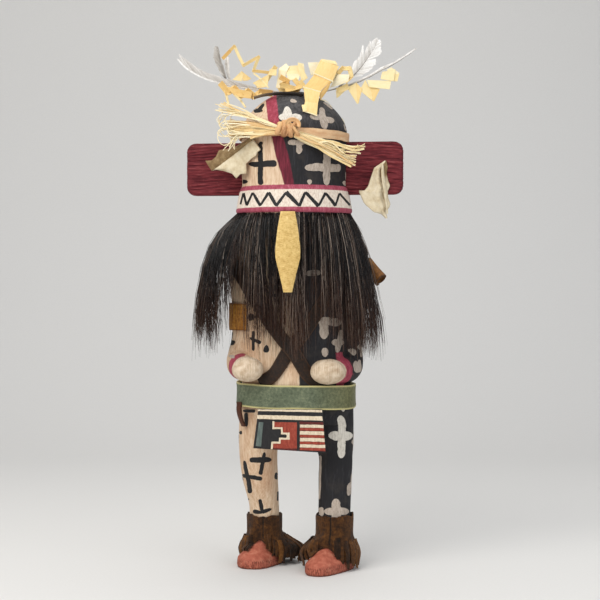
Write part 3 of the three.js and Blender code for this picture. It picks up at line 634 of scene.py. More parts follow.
def figure_material():
    m = Mat("Painted cottonwood", rough=0.72, spec=0.3)
    x, y, z = m.xyz()
    streak = m.noise(0.9, 4, 0.6, (1, 1, 0.12))
    fine = m.noise(3.2, 3, 0.6, (1, 1, 0.10))
    blot = m.noise(0.11, 4, 0.6)
    speck = m.noise(2.2, 2, 0.5)
    wob = m.math("MULTIPLY", m.math("SUBTRACT", m.noise(0.5, 3, 0.6), 0.5), 1.1)

    def edge(field, width=0.22, wobble=1.0, shift=0.0):
        v = m.math("ADD", m.attr(field), m.math("MULTIPLY_ADD", wob, wobble, shift))
        return m.span(v, -width, width)

    grain = m.math("MULTIPLY_ADD", streak, 0.6, m.math("MULTIPLY", fine, 0.4))
    cream = m.ramp(grain, [(0.30, C(176, 142, 112)), (0.46, C(203, 174, 144)), (0.60, C(222, 200, 172)), (0.75, C(230, 212, 188))])
    # orange-tan staining, stronger on the lower body and legs
    stain = m.math("MULTIPLY", m.span(m.noise(0.07, 3, 0.5, (1, 1, 0.45)), 0.46, 0.72), m.span(z, 150, 70, 0.12, 0.52))
    cream = m.mix(stain, cream, m.mix(fine, C(150, 92, 48), C(186, 128, 82)))
    grime = m.span(m.noise(0.35, 5, 0.7), 0.60, 0.78, 0, 0.35)
    cream = m.mix(grime, cream, C(122, 92, 66))
    black = m.ramp(grain, [(0.32, C(19, 18, 20)), (0.52, C(31, 30, 33)), (0.66, C(50, 49, 52)), (0.80, C(78, 75, 74))])
    black = m.mix(m.span(blot, 0.52, 0.72, 0, 0.55), black, C(64, 58, 52))
    # the black dome is painted lighter grey towards the top, in streaks: painted highlight of the light from above,
    # mixed with rubbed paint
    black = m.mix(m.math("MULTIPLY", m.span(z, 196, 216, 0, 0.75), m.span(streak, 0.36, 0.62, 0.25, 1.0)), black, C(86, 84, 84))
    col = m.mix(edge("Split", 0.25, 0.7), cream, black)
    # the grey, dry-brushed edge down the inside of the black leg is drawn later as a thin pale stroke
    red = m.ramp(grain, [(0.3, C(112, 32, 46)), (0.50, C(150, 54, 72)), (0.66, C(176, 88, 104)), (0.80, C(194, 132, 140))])
    dark_red = m.ramp(grain, [(0.3, C(60, 12, 24)), (0.52, C(96, 24, 40)), (0.68, C(128, 46, 62)), (0.8, C(156, 92, 96))])
    red_mask = m.mix(m.span(m.math("MULTIPLY_ADD", streak, 8.0, z), 214, 202), red, dark_red)
    col = m.mix(edge("Stripe", 0.22, 0.6), col, red_mask)
    col = m.mix(edge("Wrist", 0.25, 1.2), col, m.mix(m.span(speck, 0.55, 0.7, 0, 0.5), red, C(150, 96, 98)))
    palm = m.ramp(m.noise(0.45, 3, 0.5), [(0.3, C(184, 160, 133)), (0.5, C(203, 183, 157)), (0.7, C(217, 200, 177))])
    # pencil scribbles over the hands
    wave = m.node("ShaderNodeTexWave", wave_type="BANDS", bands_direction="X")
    m.put(wave.inputs["Vector"], m.vec(x, m.math("MULTIPLY", y, 0.1), m.math("MULTIPLY", z, 0.35)))
    for k, v in (("Scale", 0.42), ("Distortion", 5.5), ("Detail", 2.0), ("Detail Scale", 0.5)):
        wave.inputs[k].default_value = v
    lines = m.math("MULTIPLY", m.span(wave.outputs["Fac"], 0.93, 0.985), m.span(m.noise(0.25, 2), 0.45, 0.60))
    palm = m.mix(m.math("MULTIPLY", lines, 0.8), palm, C(112, 80, 50))
    col = m.mix(edge("Hand", 0.2, 0.5), col, palm)
    # collar: white band between two crimson lines
    pink = m.ramp(grain, [(0.3, C(120, 40, 56)), (0.5, C(158, 68, 86)), (0.66, C(182, 108, 122)), (0.8, C(200, 150, 156))])
    band = m.ramp(m.noise(1.5, 4, 0.6, (1, 1, 0.5)), [(0.3, C(196, 176, 160)), (0.5, C(220, 206, 190)), (0.7, C(232, 224, 210))])
    zz = m.math("ADD", z, m.math("MULTIPLY", wob, 0.35))
    ring = m.math("MAXIMUM", m.span(zz, 169.75, 169.45), m.span(zz, 177.45, 177.75))
    band = m.mix(ring, band, pink)
    col = m.mix(edge("Collar", 0.12, 0.25), col, band)
    # moccasins
    scratch = m.noise(2.4, 3, 0.7, (1, 1, 0.28))
    clay = m.ramp(m.noise(0.45, 4, 0.55), [(0.3, C(152, 80, 61)), (0.5, C(175, 97, 76)), (0.7, C(192, 122, 97))])
    sole = m.math("MULTIPLY", m.span(z, 5.2, 3.4), m.span(scratch, 0.47, 0.60))
    clay = m.mix(m.math("MULTIPLY", sole, 0.85), clay, C(84, 34, 22))
    clay = m.mix(m.span(z, 1.2, 0.0, 0, 0.6), clay, C(60, 30, 22))
    col = m.mix(edge("Foot", 0.3, 1.0), col, clay)
    m.colour(col)
    m.rough(m.span(m.math("ADD", grain, m.math("MULTIPLY", m.attr("Split"), 0.0)), 0.3, 0.8, 0.62, 0.84))
    h = m.math("ADD", m.math("MULTIPLY", streak, 0.6), m.math("MULTIPLY", fine, 0.6))
    m.bump(h, 0.55, 0.16)
    return m.m


# ---------------------------------------------------------------- brush strokes
EYE = np.array([1.9, -650.0, 140.0])
FRONT_BLACK = [
    ((-16.7, 200.2), (-16.7, 181.1), 2.17), ((-22.3, 190.9), (-9.1, 190.9), 2.64), ((-17.9, 199.0), (-15.8, 201.2), 1.5),
    ((-26.2, 182.7), (-22.7, 182.7), 1.8), ((-19.8, 215.9), (-15.6, 215.9), 1.65), ((-17.6, 216.0), (-14.9, 219.1), 1.42),
    ((-20.1, 112.2), (-20.1, 102.8), 1.32), ((-21.8, 108.9), (-16.5, 106.6), 1.42), ((-13.9, 105.6), (-13.9, 102.0), 2.36),
    ((-8.6, 96.2), (-3.9, 95.9), 2.83), ((-19.5, 143.8), (-15.1, 143.8), 2.83), ((-22.6, 118.9), (-19.1, 118.9), 3.02),
    ((-11.3, 129.0), (-7.8, 129.0), 1.23),
    ((-21.9, 51.1), (-11.6, 51.1), 2.36), ((-15.0, 54.8), (-16.8, 44.1), 1.7), ((-24.4, 50.8), (-21.5, 35.4), 1.8),
    ((-26.1, 43.9), (-16.0, 42.2), 1.8), ((-17.1, 32.5), (-15.9, 25.8), 1.6), ((-20.3, 27.0), (-15.9, 26.1), 1.6),
    ((-16.2, 26.1), (-11.6, 27.9), 1.6), ((-23.5, 73.5), (-23.5, 66.9), 1.65), ((-25.0, 74.4), (-19.2, 74.4), 1.42),
    ((-26.8, 64.2), (-25.5, 64.2), 2.03), ((-9.3, 45.2), (-9.3, 41.9), 1.6), ((-22.7, 32.9), (-22.7, 30.8), 1.2), ((-8.5, 36.2), (-8.5, 31.7), 1.0),
]
FRONT_WHITE = [
    ((-4.0, 217.9), (-4.0, 211.0), 4.1), ((-8.1, 212.7), (2.8, 212.7), 3.3),
]
FRONT_PALE = [
    ((12.0, 217.5), (13.7, 207.3), 3.1), ((6.6, 213.7), (17.9, 210.9), 2.6),
    ((-3.8, 200.9), (4.2, 200.9), 2.41), ((1.3, 202.1), (1.3, 195.7), 2.7), ((4.2, 189.3), (21.0, 189.3), 3.5), ((14.4, 200.0), (14.4, 180.9), 3.3),
    ((6.3, 183.6), (6.3, 181.2), 2.1), ((23.4, 183.0), (23.4, 180.6), 2.6), ((23.9, 187.4), (23.9, 182.9), 1.13),
    ((4.7, 139.6), (11.7, 139.6), 2.83), ((13.8, 147.6), (13.8, 135.8), 2.55), ((10.1, 116.6), (21.7, 116.6), 3.9), ((13.2, 118.6), (13.2, 108.4), 4.0),
    ((21.4, 112.7), (19.6, 102.0), 2.5), ((16.8, 106.7), (22.7, 106.7), 2.8), ((13.6, 104.2), (13.6, 99.9), 2.83),
    ((31.1, 109.8), (31.1, 99.9), 1.23), ((28.8, 104.6), (31.2, 104.6), 2.83), ((24.6, 103.2), (28.4, 101.6), 2.4),
    ((11.6, 53.2), (10.9, 32.4), 1.2), ((11.4, 28.5), (12.6, 24.5), 2.6), ((25.8, 39.7), (24.8, 34.2), 2.17),
    ((18.9, 32.7), (19.3, 22.0), 4.3), ((13.4, 26.7), (25.0, 26.7), 3.4),
    ((-31.8, 100.3), (-29.0, 99.8), 1.3), ((28.0, 98.0), (29.4, 92.6), 3.0), ((29.9, 98.6), (30.5, 93.0), 1.2),
    ((-2.6, 220.9), (0.4, 220.2), 1.6), ((12.9, 220.0), (17.3, 216.8), 0.9), ((22.7, 211.5), (23.5, 206.5), 1.2),
]
FRONT_BRIGHT = [
    ((21.3, 72.2), (21.4, 52.0), 3.5), ((15.4, 62.7), (26.8, 62.7), 4.1), ((22.4, 76.8), (22.4, 74.0), 1.7), ((27.5, 73.5), (27.5, 69.0), 1.13),
]
ZIGZAG = [(-26.1, 171.9), (-24.7, 177.2), (-23.1, 171.4), (-20.4, 177.4), (-16.8, 171.2), (-12.9, 177.5), (-9.3, 171.1), (-4.7, 177.7), (1.5, 171.1), (4.4, 177.7), (10.7, 171.1), (13.8, 177.4), (18.6, 171.2), (20.5, 177.1), (25.4, 171.5)]


class Brush:
    """Thin raised strokes of paint laid on a carved surface."""

    def __init__(self, tree):
        self.tree, self.k = tree, 0

    def ray(self, kind, u, v):
        if kind == "front":
            o = EYE
            d = np.array([u, 0, v]) - EYE
        elif kind == "back":
            o, d = np.array([u, 300.0, v]), np.array([0, -1.0, 0])
        elif kind == "left":
            o, d = np.array([-300.0, u, v]), np.array([1.0, 0, 0])
        elif kind == "right":
            o, d = np.array([300.0, u, v]), np.array([-1.0, 0, 0])
        elif kind == "round":
            a = u / 26.0
            o, d = np.array([-0.8 + 200 * math.sin(a), -200 * math.cos(a), v]), np.array([-math.sin(a), math.cos(a), 0])
        hit = self.tree.ray_cast(Vector(o), Vector(d).normalized())
        return (None, None) if hit[0] is None else (np.array(hit[0]), np.array(hit[1]))

    def stroke(self, soup, kind, a, b, width, taper=0.16, step=0.4, dry=0.0, petal=False):
        self.k += 1
        a, b = np.array(a, float), np.array(b, float)
        L = np.linalg.norm(b - a)
        T = (b - a) / L
        W = np.array([-T[1], T[0]])
        n, m = max(4, int(L / step) + 2), max(4, int(width / step) + 2)
        seed = self.k * 17
        s, w = np.linspace(0, 1, n), np.linspace(-1, 1, m)
        end = np.minimum(s, 1 - s) * L / (width * 0.5)
        round_ = np.sqrt(np.clip(1 - (1 - np.clip(end, 0, 1)) ** 2, 0.08, 1))
        P3 = np.stack([s * L, np.full(n, seed * 3.1), np.zeros(n)], -1)
        hw1 = width / 2 * (1 + 0.13 * vnoise(P3, 1.6, seed) + 0.06 * vnoise(P3, 0.6, seed + 1)) * lerp(1, round_, 1 - taper)
        hw2 = width / 2 * (1 + 0.13 * vnoise(P3, 1.6, seed + 5) + 0.06 * vnoise(P3, 0.6, seed + 6)) * lerp(1, round_, 1 - taper)
        bend = 0.10 * width * vnoise(P3, 5.0, seed + 9)
        if kind == "front" and width > 2.3 and L > 1.9 * width and petal:
            # arms of a white cross: each half of the stroke swells like a petal
            belly = 0.92 + 0.10 * np.abs(sin(2 * pi * s)) ** 0.8
            tip = np.clip(np.minimum(s, 1 - s) * L / (width * 0.75), 0, 1) ** 0.6
            hw1, hw2 = hw1 * belly * lerp(1, tip, 0.3), hw2 * belly * lerp(1, tip, 0.3)
        elif width > 1.0:
            # a loaded brush starts broad and runs out, one way or the other
            lean = 0.20 * math.sin(seed * 1.9) + 0.0 * s
            belly = 1 + lean * (2 * s - 1) + 0.08 * sin(pi * s)
            tipped = np.clip(np.where(lean > 0, s, 1 - s) * L / (width * 0.85), 0, 1) ** 0.55
            hw1, hw2 = hw1 * belly * lerp(1, tipped, 0.45), hw2 * belly * lerp(1, tipped, 0.45)
        hits, norms, ok = np.zeros((n, m, 3)), np.zeros((n, m, 3)), np.zeros((n, m), bool)
        for i in range(n):
            for j in range(m):
                off = bend[i] + (w[j] * (hw1[i] if w[j] > 0 else hw2[i]))
                q = a + T * (s[i] * L) + W * off
                p, nn = self.ray(kind, q[0], q[1])
                if p is not None:
                    hits[i, j], norms[i, j], ok[i, j] = p, nn, True
        shell(soup, hits, norms, ok, 0.09 + 0.012 * (self.k % 3), 0.2, dry=dry, seed=seed)


def shell(soup, hits, norms, ok, up, down, dry=0.0, seed=0, limit=2.6):
    n, m = ok.shape
    q = grid_quads(n, m)
    pts, nr, fl = hits.reshape(-1, 3), norms.reshape(-1, 3), ok.ravel()
    good = fl[q].all(1)
    ext = pts[q].max(1) - pts[q].min(1)
    good &= ext.max(1) < limit
    if dry:
        good &= vnoise(pts[q].mean(1), (0.8, 0.8, 2.2), seed) > -1 + dry * 1.2 * smooth(np.linspace(0, 1, n - 1).repeat(m - 1) * 1.6 - 0.5)
    q = q[good]
    if not len(q):
        return
    # face the quads outwards
    fn = np.cross(pts[q[:, 2]] - pts[q[:, 0]], pts[q[:, 3]] - pts[q[:, 1]])
    if (fn * nr[q[:, 0]]).sum() < 0:
        q = q[:, ::-1]
    e = np.concatenate([q[:, [0, 1]], q[:, [1, 2]], q[:, [2, 3]], q[:, [3, 0]]])
    key = e[:, 0] * (n * m) + e[:, 1]
    back = e[:, 1] * (n * m) + e[:, 0]
    rim = e[~np.isin(key, back)]
    k = n * m
    sides = np.stack([rim[:, 1], rim[:, 0], rim[:, 0] + k, rim[:, 1] + k], -1)
    quads = np.concatenate([q, q[:, ::-1] + k, sides])
    V = np.concatenate([pts + nr * up, pts - nr * down])
    used = np.unique(quads)
    remap = np.full(len(V), -1)
    remap[used] = np.arange(len(used))
    soup.add(V[used], remap[quads])


def crosses(kind, places, size=9.0, width=2.6, tilt=0.0):
    out = []
    for k, (u, v) in enumerate(places):
        t = math.radians(tilt + 9 * math.sin(k * 2.4))
        s = size * (1 + 0.12 * math.sin(k * 1.7))
        a, b = np.array([math.cos(t), math.sin(t)]) * s * 0.5, np.array([-math.sin(t), math.cos(t)]) * s * 0.56
        c = np.array([u, v])
        out += [(tuple(c - a), tuple(c + a), width), (tuple(c - b), tuple(c + b), width * 0.92)]
    return out


P_FIG, F_FIG = remeshed_figure()
fields = figure_fields(P_FIG)
fig = Soup(*fields.keys())
fig.add(P_FIG, F_FIG, **fields)
fig.build("figure_carving", figure_material(), "painted_wood", ["carved_figure"], angle=180, fix=False)
TREE = BVHTree.FromPolygons([Vector(p) for p in P_FIG], F_FIG.tolist())
brush = Brush(TREE)


def paint_material(name, stops, rough=0.6, scale=1.4):
    m = Mat(name, rough=rough, spec=0.35)
    g = m.noise(scale, 4, 0.65, (1, 1, 0.3))
    g2 = m.noise(3.5, 3, 0.6)
    f = m.math("MULTIPLY_ADD", g, 0.65, m.math("MULTIPLY", g2, 0.35))
    m.colour(m.ramp(f, stops))
    m.rough(m.span(g2, 0.3, 0.7, rough - 0.08, rough + 0.12))
    m.bump(f, 0.4, 0.12)
    return m.m


black_paint = paint_material("Black paint", [(0.3, C(14, 13, 14)), (0.55, C(26, 25, 26)), (0.75, C(50, 46, 42))])
white_paint = paint_material("White paint", [(0.3, C(158, 150, 138)), (0.5, C(206, 200, 188)), (0.7, C(224, 220, 210))])
pale_paint = paint_material("Thin white paint", [(0.28, C(118, 108, 98)), (0.48, C(170, 156, 142)), (0.7, C(202, 190, 176))])

blacks, whites, pales = Soup(), Soup(), Soup()
for a, b, w in FRONT_BLACK:
    brush.stroke(blacks, "front", a, b, w)
for i, (a, b) in enumerate(zip(ZIGZAG[:-1], ZIGZAG[1:])):
    mid = 1 - abs((a[0] + b[0]) / 2 + 1) / 27
    w = lerp(0.7, 1.75 if i % 2 else 1.3, mid**0.7)
    brush.stroke(blacks, "front", a, b, w, taper=0.8, step=0.35)
# the zigzag goes on, more evenly, round the back of the collar
arc = [(26.0 * math.radians(t), 171.3 if k % 2 == 0 else 177.1) for k, t in enumerate(np.linspace(97, 263, 17))]
for a, b in zip(arc[:-1], arc[1:]):
    brush.stroke(blacks, "round", a, b, 1.1, taper=0.8, step=0.45)
for a, b, w in FRONT_WHITE + FRONT_BRIGHT:
    brush.stroke(whites, "front", a, b, w, petal=True)
for a, b, w in FRONT_PALE:
    brush.stroke(pales, "front", a, b, w, petal=abs(a[1] - 189.3) > 0.1 and a[1] != 200.0)
# plainer crosses on the sides and back
for kind, places, size in (
    ("back", [(-16, 212), (-17.5, 193), (-7.5 - 6, 150), (-12, 132), (-9, 112), (-14, 97)], 10),
    ("back", [(-19, 68), (-17, 50), (-15.5, 34)], 8),
    ("left", [(1, 141), (0, 107)], 7.5),
    ("left", [(4, 62), (7, 42)], 7),
):
    for a, b, w in crosses(kind, places, size, 2.0):
        brush.stroke(blacks, kind, a, b, w, step=0.5)
for kind, places, size in (
    ("back", [(6.5, 214), (12, 194), (3, 190), (8, 152), (12, 133), (6, 114), (15, 98)], 10),
    ("back", [(17, 68), (19, 49), (18, 33)], 9),
    ("right", [(1, 136), (0, 112)], 8),
    ("right", [(0, 60), (-1, 40)], 8),
):
    for a, b, w in crosses(kind, places, size, 2.7):
        brush.stroke(pales, kind, a, b, w, step=0.5)
blacks.build("paint_black_marks", black_paint, "painted_wood", angle=60)
whites.build("paint_white_marks", white_paint, "painted_wood", angle=60)
pales.build("paint_pale_marks", pale_paint, "painted_wood", angle=60)


def V2(u, v, Y):
    """The point at depth Y that the eye sees at (u, v) of the plane y = 0."""
    u, v, Y = (np.asarray(a, float) for a in (u, v, Y))
    k = (650 + Y) / 650
    return np.stack(np.broadcast_arrays(1.9 + (u - 1.9) * k, Y, 140 + (v - 140) * k), -1)


# ================================================================ ear slabs
def ear_material():
    m = Mat("Carved dark red ear", rough=0.78, spec=0.25)
    rid = m.attr("Ridge")
    g = m.noise(1.2, 4, 0.6, (0.12, 1, 1))
    f = m.math("MULTIPLY_ADD", g, 0.5, m.math("MULTIPLY_ADD", rid, 0.34, 0.22))
    # the colour follows the ridge height: the valleys between the carved ridges get painted shade and the ridge tops a
    # painted highlight
    col = m.ramp(f, [(0.25, C(24, 3, 7)), (0.42, C(54, 8, 15)), (0.58, C(82, 17, 26)), (0.72, C(112, 36, 42)), (0.86, C(148, 78, 78))])
    col = m.mix(m.span(m.noise(0.5, 5, 0.7), 0.62, 0.74, 0, 0.5), col, C(150, 84, 80))
    m.colour(col)
    m.rough(m.span(f, 0.3, 0.7, 0.88, 0.66))
    m.bump(g, 0.6, 0.25)
    return m.m


EAR_MAT = ear_material()


def ear(side):
    s = -1 if side == "left" else 1
    z0, z1, reach, corner = 176.2, 200.9, 51.3, 4.2
    zs = np.concatenate([[z0, z0 + 0.15, z0 + 0.4], np.linspace(z0 + 0.7, z1 - 0.7, 104), [z1 - 0.4, z1 - 0.15, z1]])
    rings, ridges = [], []
    for z in zs:
        e = min(z - z0, z1 - z)
        R = reach - corner + math.sqrt(max(corner**2 - (corner - min(e, corner)) ** 2, 0))
        r = 0.8
        h = 2.5 - r + r * math.sqrt(max(1 - (1 - min(e / r, 1)) ** 2, 0))
        xs = np.linspace(24.4, R - h * 0.5, 42)
        a = np.linspace(-pi / 2, pi / 2, 10)[1:-1]
        ex, ey = R - h * 0.5 + h * 0.5 * cos(a), h * sin(a)
        x = np.concatenate([xs, ex, xs[::-1]])
        y = np.concatenate([np.full(42, -h), ey, np.full(42, h)])
        P = np.stack([x * s, y * 1.0, np.full_like(x, z)], -1)
        sd = 61 if s > 0 else 62
        slope = z + 0.05 * x + 0.5 * vnoise(P, (9, 50, 50), sd)
        Q = np.stack([P[:, 0], P[:, 1] * 0.2, slope], -1)
        rd = 0.62 * vnoise(Q, (9, 3, 0.72), sd + 1) + 0.38 * vnoise(Q, (3, 2, 0.42), sd + 2)
        ny = np.sign(y) * (np.abs(y) > h * 0.98)
        amp = 0.44 * min(e / 0.8, 1)
        y = y + ny * (rd * amp - 0.18 * min(e / 0.8, 1))
        x = x + (np.abs(y) < h * 0.9) * rd * 0.16 * (x > 40)
        u, v = turned(s * x, y, -7)
        rings.append(np.stack([u - 0.8, v, np.full_like(u, z)], -1))
        # the ridge height also goes to the colour, as painted shade in the valleys and painted highlight on the tops
        ridges.append(rd * 0.5 + 0.5)
    soup = Soup("Ridge")
    loft(soup, np.stack(rings), Ridge=np.stack(ridges))
    soup.build(f"{side}_ear_carving", EAR_MAT, "ear_wood", [f"{side}_ear_slab"], angle=70)


ear("left")
ear("right")


# ================================================================ hide pendants
def sharp_line(pts, n):
    """n points along a polyline that keep its corners."""
    pts = np.asarray(pts, float)
    d = np.concatenate([[0], np.cumsum(np.linalg.norm(np.diff(pts, axis=0), axis=1))])
    t = np.linspace(0, d[-1], n)
    return np.stack([np.interp(t, d, pts[:, k]) for k in range(2)], -1)


def curve2(pts, n):
    """Points evenly spaced along a polyline, with softened corners."""
    p = np.asarray(pts, float)
    d = np.concatenate([[0], np.cumsum(np.linalg.norm(np.diff(p, axis=0), axis=1))])
    t = np.linspace(0, d[-1], n)
    return np.stack([np.interp(t, d, p[:, k]) for k in range(p.shape[1])], -1)


def hide_material(name="Hide"):
    m = Mat(name, rough=0.74, spec=0.3)
    tone = m.attr("Tone")
    g = m.noise(0.35, 5, 0.6)
    fine = m.noise(3.0, 3, 0.6)
    inner = m.ramp(g, [(0.3, C(196, 177, 142)), (0.48, C(215, 201, 170)), (0.62, C(225, 213, 186)), (0.75, C(234, 226, 204))])
    outer = m.ramp(m.math("MULTIPLY_ADD", g, 0.7, m.math("MULTIPLY", fine, 0.3)), [(0.3, C(92, 70, 42)), (0.5, C(132, 108, 74)), (0.7, C(168, 146, 108))])
    col = m.mix(m.span(tone, 0.35, 0.65), inner, outer)
    # dark cut edge
    ac = m.attr("Across")
    edge = m.math("MAXIMUM", m.span(ac, 0.05, 0.0, 0, 0.6), m.span(ac, 0.95, 1.0, 0, 0.5))
    m.colour(m.mix(edge, col, C(112, 84, 50)))
    m.bump(fine, 0.5, 0.12)
    return m.m


HIDE = hide_material()


def pendants():
    n, m = 30, 16
    # viewer's left: an open leaf below a crease, its upper part rolled over as a brown fold
    n = 44
    crease_l = curve2([(-39.4, 188.2), (-34.4, 191.9), (-29.0, 196.0), (-24.6, 199.6), (-20.4, 202.9)], n)
    lowr = sharp_line([(-39.2, 188.1), (-37.6, 188.5), (-34.5, 188.0), (-29.8, 186.5), (-28.0, 184.2), (-26.2, 186.2), (-23.3, 186.5), (-23.6, 190.9), (-21.5, 193.0), (-18.6, 194.8), (-18.3, 196.3), (-16.6, 197.7), (-18.0, 199.6), (-20.2, 202.7)], n)
    s = np.linspace(0, 1, m)[None, :, None]
    G = crease_l[:, None] * (1 - s) + lowr[:, None] * s
    X = G[..., 0]
    depth = -4.2 - (X + 42) * 0.62
    belly = -1.9 * np.sin(pi * np.clip(s[..., 0] * 0.9 + 0.1, 0, 1)) * np.sin(pi * np.linspace(0.1, 0.9, n))[:, None]
    crease = 0.4 * vnoise(np.stack([X, G[..., 1], X * 0], -1), (7, 5, 5), 73)
    bound = lambda X_: -np.sqrt(np.maximum(26.0**2 - np.minimum(np.abs(X_ * 0.97 + 0.8), 25.9) ** 2, 0)) - 0.2
    Y = np.minimum(depth + belly + crease, bound(X))
    soup = Soup("Along", "Across", "Tone", "Face")
    slab(soup, V2(G[..., 0], G[..., 1], Y), 0.55, Tone=0.0)
    top = sharp_line([(-42.6, 192.4), (-39.6, 192.5), (-37.6, 194.2), (-36.2, 197.3), (-31.6, 198.0), (-28.7, 198.6), (-24.4, 201.4), (-20.2, 204.1)], n)
    q = np.linspace(0, 1, 14)[None, :]
    F0 = crease_l + np.array([-0.2, -0.5])
    G = F0[:, None] * (1 - q[..., None]) + top[:, None] * q[..., None]
    X = G[..., 0]
    ends_ = np.sin(pi * np.linspace(0.12, 0.92, n))[:, None]
    Y = np.minimum(-4.2 - (X + 42) * 0.62, bound(X)) - 0.9 - 1.9 * sin(pi * (q * 0.92 + 0.04)) ** 0.8 * ends_ + 0.2 * vnoise(np.stack([X, G[..., 1], X * 0], -1), (5, 2, 5), 74)
    slab(soup, V2(G[..., 0], G[..., 1], Y), 0.5, Tone=0.85 + 0.1 * vnoise(np.stack([X, G[..., 1], X * 0], -1), (3, 2, 3), 75))
    soup.build("left_hide_pendant", HIDE, "hide", ["left_ear_pendant"], angle=70)
    n = 40

    # viewer's right: a leaf creased down its length, its outer side turned forward
    left = sharp_line([(42.0, 192.3), (36.9, 189.0), (35.5, 185.1), (34.0, 180.4), (31.9, 177.9), (29.5, 178.4), (30.8, 175.3), (31.9, 172.8), (33.3, 171.3), (36.6, 168.5), (40.2, 167.6), (42.5, 165.4)], n)
    right = sharp_line([(42.3, 192.5), (43.1, 189.4), (42.6, 186.5), (43.4, 182.9), (44.3, 180.7), (43.2, 178.2), (43.4, 175.0), (44.5, 172.1), (43.8, 170.3), (42.2, 169.2), (42.9, 165.4)], n)
    G = left[:, None] * (1 - s) + right[:, None] * s
    S = np.broadcast_to(s[..., 0], G.shape[:2])
    t = np.linspace(0, 1, n)[:, None]
    cr = np.interp(t[:, 0], [0, 0.15, 0.35, 0.5, 0.7, 1], [0.35, 0.42, 0.60, 0.80, 0.72, 0.8])[:, None]
    shut = np.sin(pi * np.clip(t, 0.06, 0.95))
    Y = -8.0 - 2.2 * np.exp(-((S - cr + 0.10) ** 2) / 0.025) * shut + 1.2 * np.exp(-((S - cr - 0.05) ** 2) / 0.003) * shut - 1.0 * np.sin(pi * S) + 0.35 * vnoise(np.stack([G[..., 0], G[..., 1], S], -1), (5, 6, 5), 78)
    soup = Soup("Along", "Across", "Tone", "Face")
    tone = np.clip((S > cr) * (0.18 + 0.9 * np.exp(-((t / 0.30) ** 2))) + 0.5 * np.exp(-((S - cr - 0.04) ** 2) / 0.0012) * (t < 0.9), 0, 1)
    slab(soup, V2(G[..., 0], G[..., 1], Y), 0.55, Tone=tone)
    # the narrow back leaf, turned edge on beside the crease
    pts = V2([40.6, 40.9, 41.8, 42.6, 43.0], [190.8, 184.5, 178.0, 172.0, 167.6], [-10.6, -11.6, -11.7, -11.2, -10.0])
    P = Spline(pts)(np.linspace(0, 1, 18))
    w = np.interp(np.linspace(0, 1, 18), [0, 0.2, 0.6, 1], [1.2, 2.6, 2.2, 0.8])
    slab(soup, strip_grid(P, w * 0.8, (0.7, 0.7, 0.0), 5, 0.3), 0.45, Tone=0.3)
    soup.build("right_hide_pendant", HIDE, "hide", ["right_ear_pendant"], angle=70)


pendants()


# ================================================================ gilt tongue
def tongue():
    n, m = 60, 16
    t = np.linspace(0, 1, n)
    w = np.where(t < 0.55, lerp(6.4, 11.2, sin(np.clip(t / 0.55, 0, 1) * pi / 2)), lerp(11.5, 3.6, np.clip((t - 0.55) / 0.45, 0, 1)))
    w = w + 0.18 * vnoise(np.stack([t * 40, t * 0, t * 0], -1), 2.0, 81)
    z = lerp(167.4, 130.9, t)
    s = np.linspace(-0.5, 0.5, m)
    X = -3.6 + s[None] * w[:, None]
    Z = np.broadcast_to(z[:, None], X.shape)
    Y = -27.95 - (167.1 - Z) * math.tan(math.radians(5)) - 0.45 * (1 - 4 * s[None] ** 2) * np.clip(t * 6, 0, 1)[:, None]
    Y = Y + 0.10 * vnoise(np.stack([X, Z, X * 0], -1), (2.2, 0.55, 1), 82) + 0.06 * vnoise(np.stack([X, Z, X * 0], -1), (0.8, 0.35, 1), 83)
    soup = Soup("Along", "Across")
    slab(soup, np.stack([X, Y, Z], -1), 0.9, rounded=0.35)
    mt = Mat("Gilt leather", rough=0.46, spec=0.5)
    wr = mt.noise(1.6, 5, 0.7, (0.55, 1, 1.5), dist=0.6)
    wr2 = mt.noise(0.5, 3, 0.5)
    f = mt.math("MULTIPLY_ADD", wr, 0.7, mt.math("MULTIPLY", wr2, 0.3))
    mt.colour(mt.ramp(f, [(0.3, C(160, 122, 60)), (0.45, C(198, 164, 94)), (0.58, C(216, 186, 118)), (0.74, C(236, 216, 160))]))
    mt.rough(mt.span(wr, 0.3, 0.7, 0.62, 0.4))
    mt.b.inputs["Metallic"].default_value = 0.22
    mt.bump(wr, 0.8, 0.22)
    soup.build("gilt_tongue", mt.m, "gilt_leather", ["tongue_pendant"], angle=60)


tongue()


# ================================================================ leather
def leather(name, stops, edge, scale=1.2, rough=0.62, bump=0.5, edge_w=0.06, edge_amount=0.8, patch=None):
    m = Mat(name, rough=rough, spec=0.35)
    g = m.noise(scale, 5, 0.65)
    fine = m.noise(scale * 4, 3, 0.6)
    big = m.noise(0.12, 3, 0.5)
    f = m.math("MULTIPLY_ADD", g, 0.55, m.math("MULTIPLY_ADD", fine, 0.2, m.math("MULTIPLY", big, 0.25)))
    col = m.ramp(f, stops)
    if patch:
        x, y, z = m.xyz()
        col = m.mix(m.span(x, patch[0], patch[1], 0, 0.75), col, m.ramp(f, patch[2]))
    ac = m.attr("Across")
    e = m.math("MAXIMUM", m.span(ac, edge_w, edge_w * 0.4), m.span(ac, 1 - edge_w, 1 - edge_w * 0.4))
    e = m.math("MULTIPLY", e, m.span(fine, 0.25, 0.55, edge_amount * 0.6, edge_amount))
    m.colour(m.mix(e, col, edge))
    m.rough(m.span(fine, 0.3, 0.7, rough - 0.1, rough + 0.14))
    m.bump(m.math("MULTIPLY_ADD", fine, 0.6, g), bump, 0.16)
    return m.m


